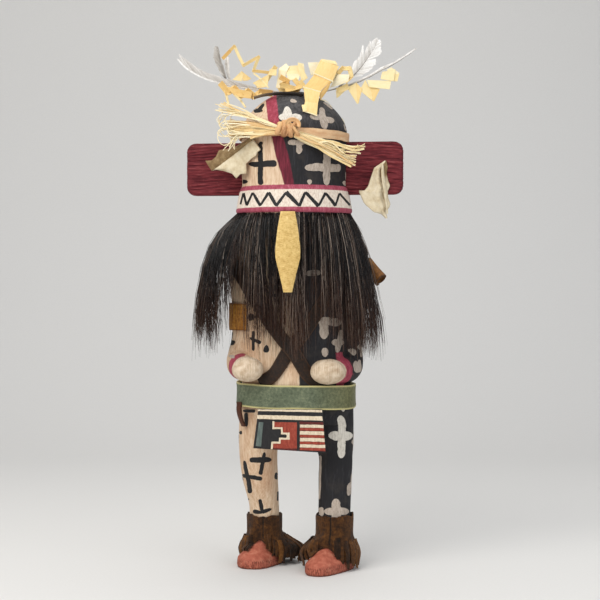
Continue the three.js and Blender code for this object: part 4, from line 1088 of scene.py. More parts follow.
def belt():
    n, m = 200, 13
    a = np.arange(n) * 2 * pi / n
    h = np.linspace(0, 1, m)
    x, y = outline(a, 28.15 - 0.7, 20.5 - 0.7, 2.6)
    u, v = turned(x, y, -7)
    w = vnoise(np.stack([u, v, u * 0], -1), 9.0, 90)
    w2 = vnoise(np.stack([u, v, u * 0], -1), 9.0, 91)
    zlo, zhi = 77.0 - 0.018 * u + 0.3 * w, 88.0 - 0.018 * u + 0.25 * w2
    Z = zlo[:, None] + (zhi - zlo)[:, None] * h[None]
    out = unit(np.stack([u, v], -1))
    rim = 0.28 * (np.exp(-((h - 0.03) / 0.05) ** 2) + np.exp(-((h - 0.97) / 0.05) ** 2)) - 0.12 * sin(pi * h)
    dents = 0.16 * vnoise(np.stack([u[:, None] + 0 * Z, v[:, None] + 0 * Z, Z], -1), (8, 8, 5), 92)
    off = rim[None] + dents
    P = np.stack([0.15 + u[:, None] + out[:, None, 0] * off, v[:, None] + out[:, None, 1] * off, Z], -1)
    soup = Soup("Along", "Across")
    slab(soup, P, 1.3, wrap_n=True, N=np.concatenate([out, np.zeros((n, 1))], -1)[:, None], rounded=0.45)
    mt = leather("Green belt leather", [(0.34, C(62, 70, 52)), (0.46, C(84, 93, 72)), (0.56, C(104, 112, 88)), (0.7, C(132, 136, 104))], C(196, 186, 128), scale=0.8, rough=0.6, edge_w=0.085, edge_amount=0.95, patch=(8, 26, [(0.34, C(74, 74, 40)), (0.5, C(104, 102, 62)), (0.66, C(136, 132, 84))]))
    soup.build("green_belt", mt, "green_leather", ["belt"], angle=60)


belt()

STRAP_LINE = [[-47, 88.6, 0], [-30, 93.0, 0], [-9, 104.2, 0], [12, 112.6, 0], [38, 127, 0], [62, 143, 0], [80, 149.4, 0.4], [98, 149.8, 0.6], [116, 143.5, 0.2], [140, 128, 0], [172, 107, 0], [200, 93.5, 0], [214, 88.6, 0]]
strap_mat = leather("Brown strap leather", [(0.34, C(14, 8, 5)), (0.46, C(27, 16, 8)), (0.56, C(44, 26, 12)), (0.72, C(76, 47, 23))], C(78, 52, 30), scale=0.9, rough=0.66, edge_w=0.10, edge_amount=0.6)


def strap(mirror, lift, name, node):
    n, m = 150, 9
    k = Spline(STRAP_LINE)(np.linspace(0, 1, n))
    bump = lambda d: np.exp(-(d * d) / 160) * lift
    extra = k[:, 2] + bump(k[:, 0] + 9) + bump(k[:, 0] - 172)
    a = np.radians(-k[:, 0] - 14 if mirror else k[:, 0])
    s_, c_ = sin(a), cos(a)
    half, depth = 32.4 + extra, 19.3 + extra
    r = (np.abs(s_ / half) ** 1.75 + np.abs(c_ / depth) ** 1.75) ** (-1 / 1.75)
    c = np.stack([r * s_, -r * c_, k[:, 1]], -1)
    T = unit(np.gradient(c, axis=0))
    out = unit(np.stack([c[:, 0] / 32.4**2, c[:, 1] / 19.3**2, np.zeros(n)], -1))
    out[:, 2] += 0.35 * np.clip((np.abs(c[:, 0]) - 24) / 3, 0, 1)
    N = unit(out - T * (out * T).sum(1, keepdims=True))
    W = np.cross(N, T)
    sd = 100 + 7 * mirror
    wob = vnoise(np.stack([np.arange(n) * 1.0, np.zeros(n), np.zeros(n)], -1), 7.0, sd)
    w = 6.4 + 0.35 * wob
    s = np.linspace(-0.5, 0.5, m)
    P = c[:, None] + W[:, None] * (s[None, :, None] * w[:, None, None]) - N[:, None] * (0.35 * (2 * s[None, :, None]) ** 2)
    P = P + N[:, None] * (0.12 * vnoise(P, (3, 3, 3), sd + 1))[..., None]
    soup = Soup("Along", "Across")
    slab(soup, P, 1.15, N=N[:, None], rounded=0.4)
    if not mirror:
        # the strap's end hangs below the belt at the viewer's left hip
        q = Spline([(-26.2, -9.6, 79.5), (-26.4, -10.0, 75.5), (-25.6, -9.0, 71.5), (-24.4, -7.6, 68.2)])(np.linspace(0, 1, 14))
        slab(soup, strip_grid(q, np.linspace(3.4, 2.4, 14), (0.62, -0.78, 0), 5, 0.2), 0.9, slot=1)
    soup.build(name, [strap_mat, tan_mat] if not mirror else strap_mat, "brown_leather", [node], angle=60)


tan_mat = leather("Red-brown leather", [(0.34, C(48, 21, 8)), (0.5, C(73, 35, 16)), (0.68, C(99, 54, 27))], C(59, 31, 15), scale=1.1, rough=0.65, edge_w=0.1, edge_amount=0.5)
strap(False, 0.0, "strap_under", "bandolier_under")
strap(True, 1.9, "strap_upper", "bandolier_upper")


def roll():
    a0, a1 = np.array([33.4, 8.6, 144.6]), np.array([40.4, 3.4, 136.2])
    T = unit(a1 - a0)
    S = unit(np.array([0, 1.0, 0]) - T * T[1])
    F = np.cross(T, S)
    ang = np.linspace(0, 2 * pi * 1.9, 90)
    r = np.linspace(2.1, 3.45, 90) + 0.12 * vnoise(np.stack([ang, ang * 0, ang * 0], -1), 1.0, 110)
    t = np.linspace(0, 1, 12)
    L = np.linalg.norm(a1 - a0)
    ends = 0.35 * vnoise(np.stack([ang, ang * 0, ang * 0], -1), 0.8, 111)
    P = a0 + T * ((t[None] * L + (t[None] - 0.5) * 2 * ends[:, None])[..., None]) + (S * cos(ang)[:, None] + F * sin(ang)[:, None])[:, None] * (r[:, None, None] + 0.25 * sin(t * pi)[None, :, None] * -1)
    soup = Soup("Along", "Across")
    slab(soup, P, 0.55, rounded=0.3)
    mt = leather("Rolled tan leather", [(0.34, C(80, 48, 18)), (0.5, C(122, 78, 32)), (0.66, C(158, 108, 50))], C(70, 42, 16), scale=0.9, rough=0.66, edge_w=0.06, edge_amount=0.9)
    soup.build("leather_tube", mt, "brown_leather", ["leather_roll"], angle=60)


roll()


def arm_band():
    n, m = 72, 10
    a = np.arange(n) * 2 * pi / n
    h = np.linspace(0, 1, m)
    Z = 112.6 + 12.6 * h[None] + 0.25 * vnoise(np.stack([a * 3, a * 0, a * 0], -1), 1.0, 120)[:, None]
    t = (Z - 125) / (108 - 125)
    cx, cy = lerp(-24.1, -24.2, t), lerp(1.0, 0.8, t)
    r = 7.15 + 0.12 * vnoise(np.stack([cos(a)[:, None] * 7 + 0 * Z, sin(a)[:, None] * 7 + 0 * Z, Z], -1), (4, 4, 3), 121)
    P = np.stack([cx + r * sin(a)[:, None], cy - r * cos(a)[:, None], Z], -1)
    soup = Soup("Along", "Across")
    out = np.stack([sin(a), -cos(a), 0 * a], -1)[:, None]
    slab(soup, P, 0.8, wrap_n=True, N=out, rounded=0.4)
    mt = leather("Ochre leather", [(0.34, C(110, 66, 18)), (0.48, C(154, 100, 32)), (0.6, C(184, 130, 52)), (0.74, C(206, 160, 84))], C(96, 58, 22), scale=0.9, rough=0.66, edge_w=0.06, edge_amount=0.7)
    soup.build("ochre_arm_band", mt, "ochre_leather", ["arm_band"], angle=60)


arm_band()


# ================================================================ sash panel
def sash():
    TL, TR, BR, BL = (-15.0, 77.0), (14.6, 77.2), (16.1, 57.4), (-17.4, 59.0)

    def at(u, z, f):
        x, y = turned(u, -f, -7)
        return np.stack([x + 0.2, y + 0.6, z], -1)

    n, m = 60, 44
    s, t = np.linspace(0, 1, n)[:, None], np.linspace(0, 1, m)[None]
    U = lerp(lerp(TL[0], TR[0], s), lerp(BL[0], BR[0], s), t)
    Z = lerp(lerp(TL[1], TR[1], s), lerp(BL[1], BR[1], s), t)
    wave = 0.08 * vnoise(np.stack([U, Z, U * 0], -1), (6, 6, 6), 130)
    names = ("Along", "Across")
    soup = Soup(*names)
    N = np.array([0.1219, -0.9925, 0])
    slab(soup, at(U, Z, 20.6 + wave), 1.5, N=N, rounded=0.2)

    def patch(poly, slot, f=21.44, thick=0.22, seed=0, grid=(14, 5)):
        p = np.array(poly, float)
        s, t = np.linspace(0, 1, grid[0])[:, None], np.linspace(0, 1, grid[1])[None]
        U = lerp(lerp(p[0][0], p[1][0], s), lerp(p[3][0], p[2][0], s), t)
        Z = lerp(lerp(p[0][1], p[1][1], s), lerp(p[3][1], p[2][1], s), t)
        Q = np.stack([U, Z, U * 0], -1)
        U, Z = U + 0.09 * vnoise(Q, 1.3, 131 + seed), Z + 0.09 * vnoise(Q, 1.3, 151 + seed)
        w = 0.08 * vnoise(np.stack([U, Z, U * 0], -1), (6, 6, 6), 130)
        slab(soup, at(U, Z, f + w), thick, N=N, slot=slot, rounded=0.3)

    R, W_, M_, T_, K = 1, 2, 3, 4, 5
    patch([(-15.2, 76.9), (14.4, 77.1), (14.5, 76.0), (-15.3, 76.2)], W_, seed=1, grid=(40, 3))
    patch([(-15.5, 74.4), (14.6, 74.1), (14.8, 72.2), (-15.6, 72.6)], W_, seed=2, grid=(40, 4))
    patch([(-14.8, 71.1), (-12.6, 71.1), (-13.7, 59.9), (-16.1, 60.2)], T_, seed=3)
    # stepped red field, its white outline and the small black bar
    for i, (u0, z1, z0) in enumerate([(-7.6, 71.2, 68.3), (-3.8, 68.6, 65.9), (-0.7, 66.1, 63.7), (-4.8, 63.9, 61.7), (-8.4, 62.0, 59.2)]):
        patch([(u0, z1), (2.9, z1), (2.9, z0), (u0, z0)], R, f=21.40 + 0.006 * i, seed=4 + i)
    line = [(-7.9, 71.3), (-7.9, 68.4), (-4.1, 68.5), (-4.0, 66.1), (-0.9, 66.1), (-0.8, 63.7), (-4.9, 63.7), (-5.0, 61.8), (-8.4, 61.8), (-8.7, 59.2)]
    for i, (a, b) in enumerate(zip(line[:-1], line[1:])):
        a, b = np.array(a), np.array(b)
        d = (b - a) / np.linalg.norm(b - a)
        w = np.array([-d[1], d[0]]) * 0.42
        a, b = a - d * 0.38, b + d * 0.38
        patch([a + w, b + w, b - w, a - w], W_, f=21.52 + 0.008 * (i % 3), seed=20 + i, grid=(8, 3))
    patch([(-5.4, 65.5), (-1.8, 65.4), (-1.8, 64.3), (-5.4, 64.4)], K, f=21.5, seed=40)
    patch([(-2.3, 66.0), (-0.9, 66.0), (-0.9, 63.8), (-2.0, 63.8)], W_, f=21.46, seed=41)
    patch([(4.2, 71.6), (15.0, 71.4), (16.0, 58.1), (4.4, 58.6)], M_, f=21.40, seed=42, grid=(30, 20))
    for i, (z1, z0) in enumerate([(70.3, 68.9), (67.3, 65.7), (64.2, 62.6), (61.2, 59.8)]):
        patch([(4.3, z1), (15.1 + i * 0.25, z1 - 0.1), (15.2 + i * 0.25, z0 - 0.1), (4.3, z0)], W_, f=21.50, seed=50 + i, grid=(24, 4))
        patch([(4.3, z0 - 0.1), (15.1 + i * 0.25, z0 - 0.2), (15.3 + i * 0.25, z0 - 1.4), (4.3, z0 - 1.3)], R, f=21.46, seed=60 + i, grid=(24, 4))
    patch([(-8.4, 59.5), (2.9, 58.9), (2.9, 58.2), (-8.4, 58.8)], M_, f=21.42, seed=70, grid=(20, 3))
    black = paint_material("Sash black", [(0.3, C(16, 15, 16)), (0.55, C(30, 29, 30)), (0.75, C(54, 50, 46))])
    red = paint_material("Sash red", [(0.3, C(104, 34, 22)), (0.5, C(142, 54, 38)), (0.72, C(176, 92, 70))])
    white = paint_material("Sash white", [(0.3, C(178, 156, 128)), (0.5, C(212, 196, 170)), (0.7, C(230, 218, 196))])
    maroon = paint_material("Sash maroon", [(0.3, C(60, 16, 14)), (0.55, C(88, 26, 22)), (0.75, C(118, 48, 40))])
    teal = paint_material("Sash grey-green", [(0.3, C(62, 74, 70)), (0.5, C(88, 100, 95)), (0.72, C(118, 126, 118))])
    soup.build("painted_sash", [black, red, white, maroon, teal, black_paint], "sash_paint", ["sash_panel"], angle=60)


sash()


# ================================================================ suede cuffs
CUFFS = {
    "left": dict(x=-15.3, y=11.4, top=24.2, topHalf=8.0, out=10.6, inner=17.2, front=8.8, back=11.5, hem=4.4, frontHem=11.6, side=1),
    "right": dict(x=18.2, y=-0.9, top=25.6, topHalf=8.6, out=10.7, inner=14.8, front=10.5, back=12.0, hem=4.4, frontHem=10.4, side=-1),
}


def suede():
    m = Mat("Brown suede", rough=0.92, spec=0.15)
    g = m.noise(0.5, 5, 0.65)
    nap = m.noise(4.0, 3, 0.7, (1, 1, 0.5))
    tone = m.attr("Tone")
    # Tone brings in the painted shade and highlight of the folds and the darker seam line
    f = m.math("MULTIPLY_ADD", g, 0.5, m.math("MULTIPLY_ADD", nap, 0.25, m.math("MULTIPLY", tone, 0.3)))
    m.colour(m.ramp(f, [(0.30, C(18, 10, 4)), (0.44, C(47, 27, 10)), (0.56, C(82, 50, 19)), (0.72, C(122, 80, 35))]))
    m.b.inputs["Sheen Weight"].default_value = 0.08
    m.b.inputs["Sheen Roughness"].default_value = 0.6
    m.bump(nap, 0.7, 0.2)
    return m.m


SUEDE = suede()


def cuff(side):
    c = CUFFS[side]
    rc = np.random.default_rng(31 if side == "left" else 37)
    av = math.radians(-13 if side == "left" else -24)

    def reach(x, y, a, z):
        """How far the carving stands out from the cuff's axis."""
        d = Vector((math.sin(a), -math.cos(a), 0))
        hit = TREE.ray_cast(Vector((x, y, z)), d, 30)
        return 0.0 if hit[0] is None else min(hit[3], 17.0)

    zs_ = np.linspace(4, 27, 24)
    as_ = np.linspace(-pi, pi, 73)
    R = np.array([[reach(c["x"], c["y"], a, z) for z in zs_] for a in as_])

    def body(a, z):
        ia = np.clip(((a + pi) % (2 * pi)) / (2 * pi) * 72, 0, 71.999)
        iz = np.clip((z - 4) / 23 * 23, 0, 22.999)
        i, j = ia.astype(int), iz.astype(int)
        fa, fz = ia - i, iz - j
        return lerp(lerp(R[i, j], R[i + 1, j], fa), lerp(R[i, j + 1], R[i + 1, j + 1], fa), fz)

    def around(a):
        return np.abs((a - av + pi) % (2 * pi) - pi)

    def half(a, t):
        s, f = sin(a) * c["side"], cos(a)
        sd = np.where(s > 0, c["inner"], c["out"])
        en = np.where(f > 0, c["front"], c["back"])
        hem = ((np.abs(s) / sd) ** 2 + (np.abs(f) / en) ** 2) ** -0.5
        # the sleeve stays close, then the lower half flares over the foot
        return lerp(c["topHalf"], hem, np.clip(1.35 * t, 0, 1) ** 1.2)

    def height(a, t):
        d = around(a)
        notch = np.exp(-((d / 0.62) ** 2))
        hem = c["hem"] * 0.45 + (c["frontHem"] - c["hem"] * 0.45) * notch
        return lerp(c["top"], hem, t)

    def at(a, t, lift):
        z = height(a, t)
        r = half(a, t)
        lay = body(a, z)
        # the sleeve hugs the leg, the lower half puffs out and then droops over the foot
        hug = np.where(lay > 2, lay, r) + 0.75
        k = smooth(np.clip((t - 0.36) / 0.34, 0, 1))
        droop = 1 - 0.10 * smooth(np.clip((t - 0.72) / 0.3, 0, 1))
        r = lerp(np.minimum(hug, np.maximum(r, c["topHalf"]) + 2.5), r * droop, k)
        toe = smooth(np.clip((z - 5.5) / 3.0, 0, 1))
        r = np.maximum(r, np.where(z > 13, lay + 0.6, lerp(0, np.minimum(lay + 0.6, c["front"] + 6), toe)))
        r = r + lift
        return np.stack([c["x"] + r * sin(a), c["y"] - r * cos(a), z], -1)

    soup = Soup("Along", "Across", "Tone")
    n, m = 180, 34
    a = (np.arange(n) * 2 * pi / n)[:, None] * np.ones((1, m))
    t = np.linspace(0, 0.93, m)[None] * np.ones((n, 1))
    sd = 140 if side == "left" else 141
    C3 = np.stack([cos(a) * 8, sin(a) * 8, t * 14], -1)
    folds = 0.30 * vnoise(C3, (3.0, 3.0, 9), sd) + 0.55 * vnoise(C3, (2.0, 2.0, 22), sd + 3) * smooth(np.clip(t * 1.3 - 0.15, 0, 1)) + 0.16 * vnoise(C3, (0.9, 0.9, 5), sd + 4)
    seam = -0.55 * np.exp(-(((((a - av - 0.18 + pi) % (2 * pi)) - pi) / 0.05) ** 2)) * (t < 0.8)
    topdip = 0.8 * vnoise(np.stack([cos(a) * 8, sin(a) * 8, t * 0], -1), 3.0, sd + 5) * (1 - t) + 0.3 * vnoise(np.stack([cos(a) * 8, sin(a) * 8, t * 0], -1), 1.0, sd + 6) * (1 - t)
    P = at(a, t, folds + seam + 0.25)
    P[..., 2] += topdip
    # the tone follows the fold displacement: fold crests get a painted highlight and hollows painted shade; the seam
    # line is darker
    slab(soup, P, 0.75, wrap_n=True, rounded=0.3, Tone=0.42 + 0.45 * folds - 0.5 * (seam < -0.15))
    # cut fringe round the lower half, left off over the toe
    count = 40
    for k in range(count):
        ak = 2 * pi * k / count + rc.normal(0, 0.03)
        d = float(around(np.array(ak)))
        if d < 0.30:
            continue
        t0, t1 = rc.uniform(0.46, 0.62), rc.uniform(0.94, 1.07)
        q = np.linspace(0, 1, 14)
        tt = lerp(t0, t1, q)
        tw = ak + rc.normal(0, 0.06) * q + 0.05 * sin(q * 4 + rc.uniform(0, 6)) * q
        lift = 0.75 + rc.uniform(0.0, 0.5) + q**1.5 * rc.uniform(-0.1, 1.0) + 0.35 * sin(q * rc.uniform(3, 7) + rc.uniform(0, 6)) * q
        c0 = at(tw, tt, lift)
        c0[:, 2] = np.maximum(c0[:, 2], 0.7)
        circ = 2 * pi * half(tw, tt) / count
        w = circ * lerp(1.35, rc.uniform(0.75, 1.2), q) * (1 - 0.35 * q**6)
        wd = np.stack([cos(tw), sin(tw), 0 * tw], -1)
        wd = unit(wd + np.stack([sin(tw), -cos(tw), 0 * tw], -1) * (rc.normal(0, 0.30) + rc.normal(0, 0.3) * q)[:, None])
        g = strip_grid(c0, w, wd, 4, rc.uniform(0.1, 0.5))
        slab(soup, g, 0.5, Tone=rc.uniform(0.05, 0.85))
    soup.build(f"{side}_suede_cuff", SUEDE, "suede", [f"{side}_cuff"], angle=55)


cuff("left")
cuff("right")


# ================================================================ horsehair
HAIR = np.array([[98, 49.6, 43.0, 28.8], [105, 49.4, 42.8, 28.6], [118, 48.6, 41.6, 28.6], [128, 47.6, 39.6, 28.5], [141, 45.0, 37.2, 28.1], [151, 41.6, 34.6, 27.8], [158, 37.4, 31.8, 27.3], [163, 32.2, 29.4, 26.9], [168, 26.6, 26.4, 26.4]])


def hair_material():
    m = Mat("Horsehair", rough=0.27, spec=0.5)
    tone, along = m.attr("Tone"), m.attr("Along")
    # the light end of the ramp is used by the lighter strands that stand for glints: painted highlight
    col = m.ramp(tone, [(0.0, C(5, 4, 4)), (0.42, C(11, 9, 9)), (0.60, C(27, 18, 14)), (0.78, C(78, 58, 44)), (1.0, C(176, 160, 146))])
    brown = m.math("MULTIPLY", m.span(along, 0.45, 1.0, 0, 0.6), m.span(tone, 0.1, 0.7, 0.25, 1.0))
    col = m.mix(brown, col, C(88, 48, 22))
    g = m.noise(1.6, 2, 0.5, (1, 1, 0.3))
    m.colour(m.mix(m.span(g, 0.4, 0.7, 0, 0.35), col, C(10, 8, 8)))
    m.rough(m.span(g, 0.3, 0.7, 0.22, 0.36))
    return m.m


def horsehair():
    rh = np.random.default_rng(5)
    mat = hair_material()
    #       from   to   clumps  hem low, hem high  stray  tone
    zones = [
        (-95, -80, 14, 111, 119, 1.4, 0.30, 3.0),
        (-80, -65, 24, 108, 117, 1.5, 0.30, 3.0),
        (-65, -57, 8, 120, 142, 1.3, 0.32, 2.0),
        (-57, -47, 7, 134, 152, 1.4, 0.36, 2.0),
        (-47, -37, 6, 104, 122, 2.2, 0.50, 2.4),
        (-40, -30, 5, 108, 124, 1.6, 0.44, 1.8),
        (-34, -24, 7, 110, 122, 1.1, 0.40, 1.4),
        (-26, -14, 8, 107, 121, 1.2, 0.44, 1.5),
        (-14, -6, 5, 106, 120, 1.2, 0.52, 1.3),
        (-9, 12, 12, 101, 112, 2.6, 0.64, 1.6),
        (6, 18, 2, 118, 136, 1.2, 0.60, 1.0),
        (18, 30, 3, 114, 132, 1.0, 0.54, 1.1),
        (30, 42, 6, 112, 130, 1.1, 0.48, 1.4),
        (42, 56, 15, 105, 117, 1.6, 0.42, 2.2),
        (56, 70, 20, 103, 112, 1.6, 0.38, 2.6),
        (70, 84, 12, 104, 114, 1.5, 0.40, 2.6),
        # a short, thick under-layer just below the collar
        (-90, 84, 56, 152, 162, 2.4, 0.34, 3.0),
    ]
    soups = {"left": Soup("Along", "Tone"), "right": Soup("Along", "Tone")}
    n = 12
    t = np.linspace(0, 1, n)
    for lo_, hi_, clumps, h0, h1, stray, tone0, spread in zones:
        for _ in range(clumps):
            th = rh.uniform(lo_, hi_)
            hem = rh.uniform(h0, h1)
            S = int(rh.integers(13, 20))
            d_end = rh.uniform(0.2, 5.5)
            phase, swing = rh.uniform(0, 6.3), rh.normal(0, 1.0)
            a0 = th + rh.normal(0, spread, S)
            a1 = th + swing * 1.5 + rh.normal(0, stray, S)
            z1 = hem + rh.normal(0, 3.0, S) - (rh.random(S) < 0.1) * rh.uniform(2, 8, S)
            z1 = np.maximum(z1, 99)
            r0, r1 = rh.uniform(0.1, 2.8, S), d_end + rh.normal(0, 0.9, S)
            k = (t**1.15)[None]
            ang = a0[:, None] + (a1 - a0)[:, None] * smooth(k) + (0.9 * rh.normal(0, 1, S))[:, None] * sin(2 * pi * (t[None] * rh.uniform(0.5, 1.1, S)[:, None]) + phase) * t[None]
            z = 167.9 + (z1 - 167.9)[:, None] * (0.08 * t + 0.92 * t**1.06)[None]
            dep = r0[:, None] + (r1 - r0)[:, None] * t[None] + 0.5 * sin(2 * pi * t[None] * 0.9 + phase) * t[None]
            dep = np.clip(dep, -0.6, 7.0)
            # hair at the front lies closer to the chest lower down
            A = np.radians(ang)
            hl, hr = table(HAIR, z, 1), table(HAIR, z, 2)
            # keep the ellipse's side length where the fringe turns sideways
            half = np.where(A < 0, hl, hr) - dep
            front = table(HAIR, z, 3) - dep
            x, y = outline(A, half, front, 2)
            x = x - 0.8 * (1 - t)[None]
            P = np.stack([x, y, z], -1)
            fr = rh.normal(0, 1, (S, 1, 3)) * 0.12 * (t[None, :, None] ** 2)
            kink = 0.16 * vnoise(np.stack([x * 0 + np.arange(S)[:, None] * 7.7, t[None] * 9 + 0 * x, x * 0], -1), 1.0, 160)[..., None] * (t[None, :, None] ** 1.5) * np.array([1, 0.6, 0.3])
            if abs(th) < 14:
                kink = kink * 4.5
            P = P + fr + kink
            rad = 0.125 * (1 - 0.68 * t[None] ** 1.7) * rh.uniform(0.75, 1.15, S)[:, None]
            # about one strand in six to eight gets a much lighter tone, more of them on the viewer's right: painted
            # glints of the light along single hairs
            tone = np.clip(tone0 + rh.normal(0, 0.13, S) + (rh.random(S) < (0.19 if th > 18 else 0.13)) * rh.uniform(0.3, 0.6, S), 0, 1)
            tubes(soups["left" if th < -12 else "right"], P, rad, sides=3, hint=(0.3, 0.9, 0.1), Tone=tone)
    # stray hairs that stand clear of the fringe
    for side, lo_, hi_, cnt in (("left", -96, -30, 46), ("right", -20, 84, 46)):
        th = rh.uniform(lo_, hi_, cnt)
        z1 = rh.uniform(98, 118, cnt)
        ang = np.radians(th[:, None] + rh.normal(0, 7, cnt)[:, None] * t[None] ** 1.4)
        z = 167.5 + (z1 - 167.5)[:, None] * t[None]
        dep = rh.uniform(0, 2, cnt)[:, None] - rh.uniform(0, 1.0, cnt)[:, None] * t[None] ** 1.5
        half = np.where(ang < 0, table(HAIR, z, 1), table(HAIR, z, 2)) - dep
        x, y = outline(ang, half, table(HAIR, z, 3) - dep, 2)
        P = np.stack([x - 0.8 * (1 - t)[None], y, z], -1)
        tubes(soups[side], P, 0.10 * (1 - 0.7 * t[None] ** 2), sides=3, hint=(0.3, 0.9, 0.1), Tone=np.clip(rh.normal(0.55, 0.2, cnt), 0, 1))
    soups["left"].build("horsehair_left", mat, "horsehair", ["horsehair_beard"], angle=180, fix=False)
    soups["right"].build("horsehair_right", mat, "horsehair", ["horsehair_beard"], angle=180, fix=False)
    return soups["left"].count() + soups["right"].count()


hair_faces = horsehair()


# ================================================================ raffia and headband
def raffia_material(name, stops):
    m = Mat(name, rough=0.58, spec=0.4)
    tone = m.attr("Tone")
    al, ac = m.attr("Along"), m.attr("Across")
    fib = m.noise(1.0, 3, 0.6, vec=m.vec(m.math("MULTIPLY", al, 2.0), m.math("MULTIPLY", ac, 9.0), m.math("MULTIPLY", tone, 37.0)))
    g = m.noise(0.9, 3, 0.6)
    f = m.math("MULTIPLY_ADD", tone, 0.62, m.math("MULTIPLY_ADD", fib, 0.26, m.math("MULTIPLY", g, 0.16)))
    m.colour(m.ramp(f, stops))
    m.bump(fib, 0.45, 0.1)
    return m.m


RAFFIA = raffia_material("Raffia", [(0.08, C(150, 102, 64)), (0.22, C(206, 158, 110)), (0.36, C(220, 182, 128)), (0.52, C(230, 204, 148)), (0.72, C(240, 226, 186)), (0.92, C(247, 240, 216))])
HUSK = raffia_material("Cornhusk", [(0.10, C(186, 128, 62)), (0.24, C(216, 171, 98)), (0.38, C(226, 192, 124)), (0.54, C(231, 207, 147)), (0.72, C(236, 221, 174)), (0.94, C(243, 238, 220))])
FAN_L = lambda X: -28.3 + 0.2126 * (-4 - X)
FAN_R = lambda X: -28.3 + 0.139 * (X + 4)


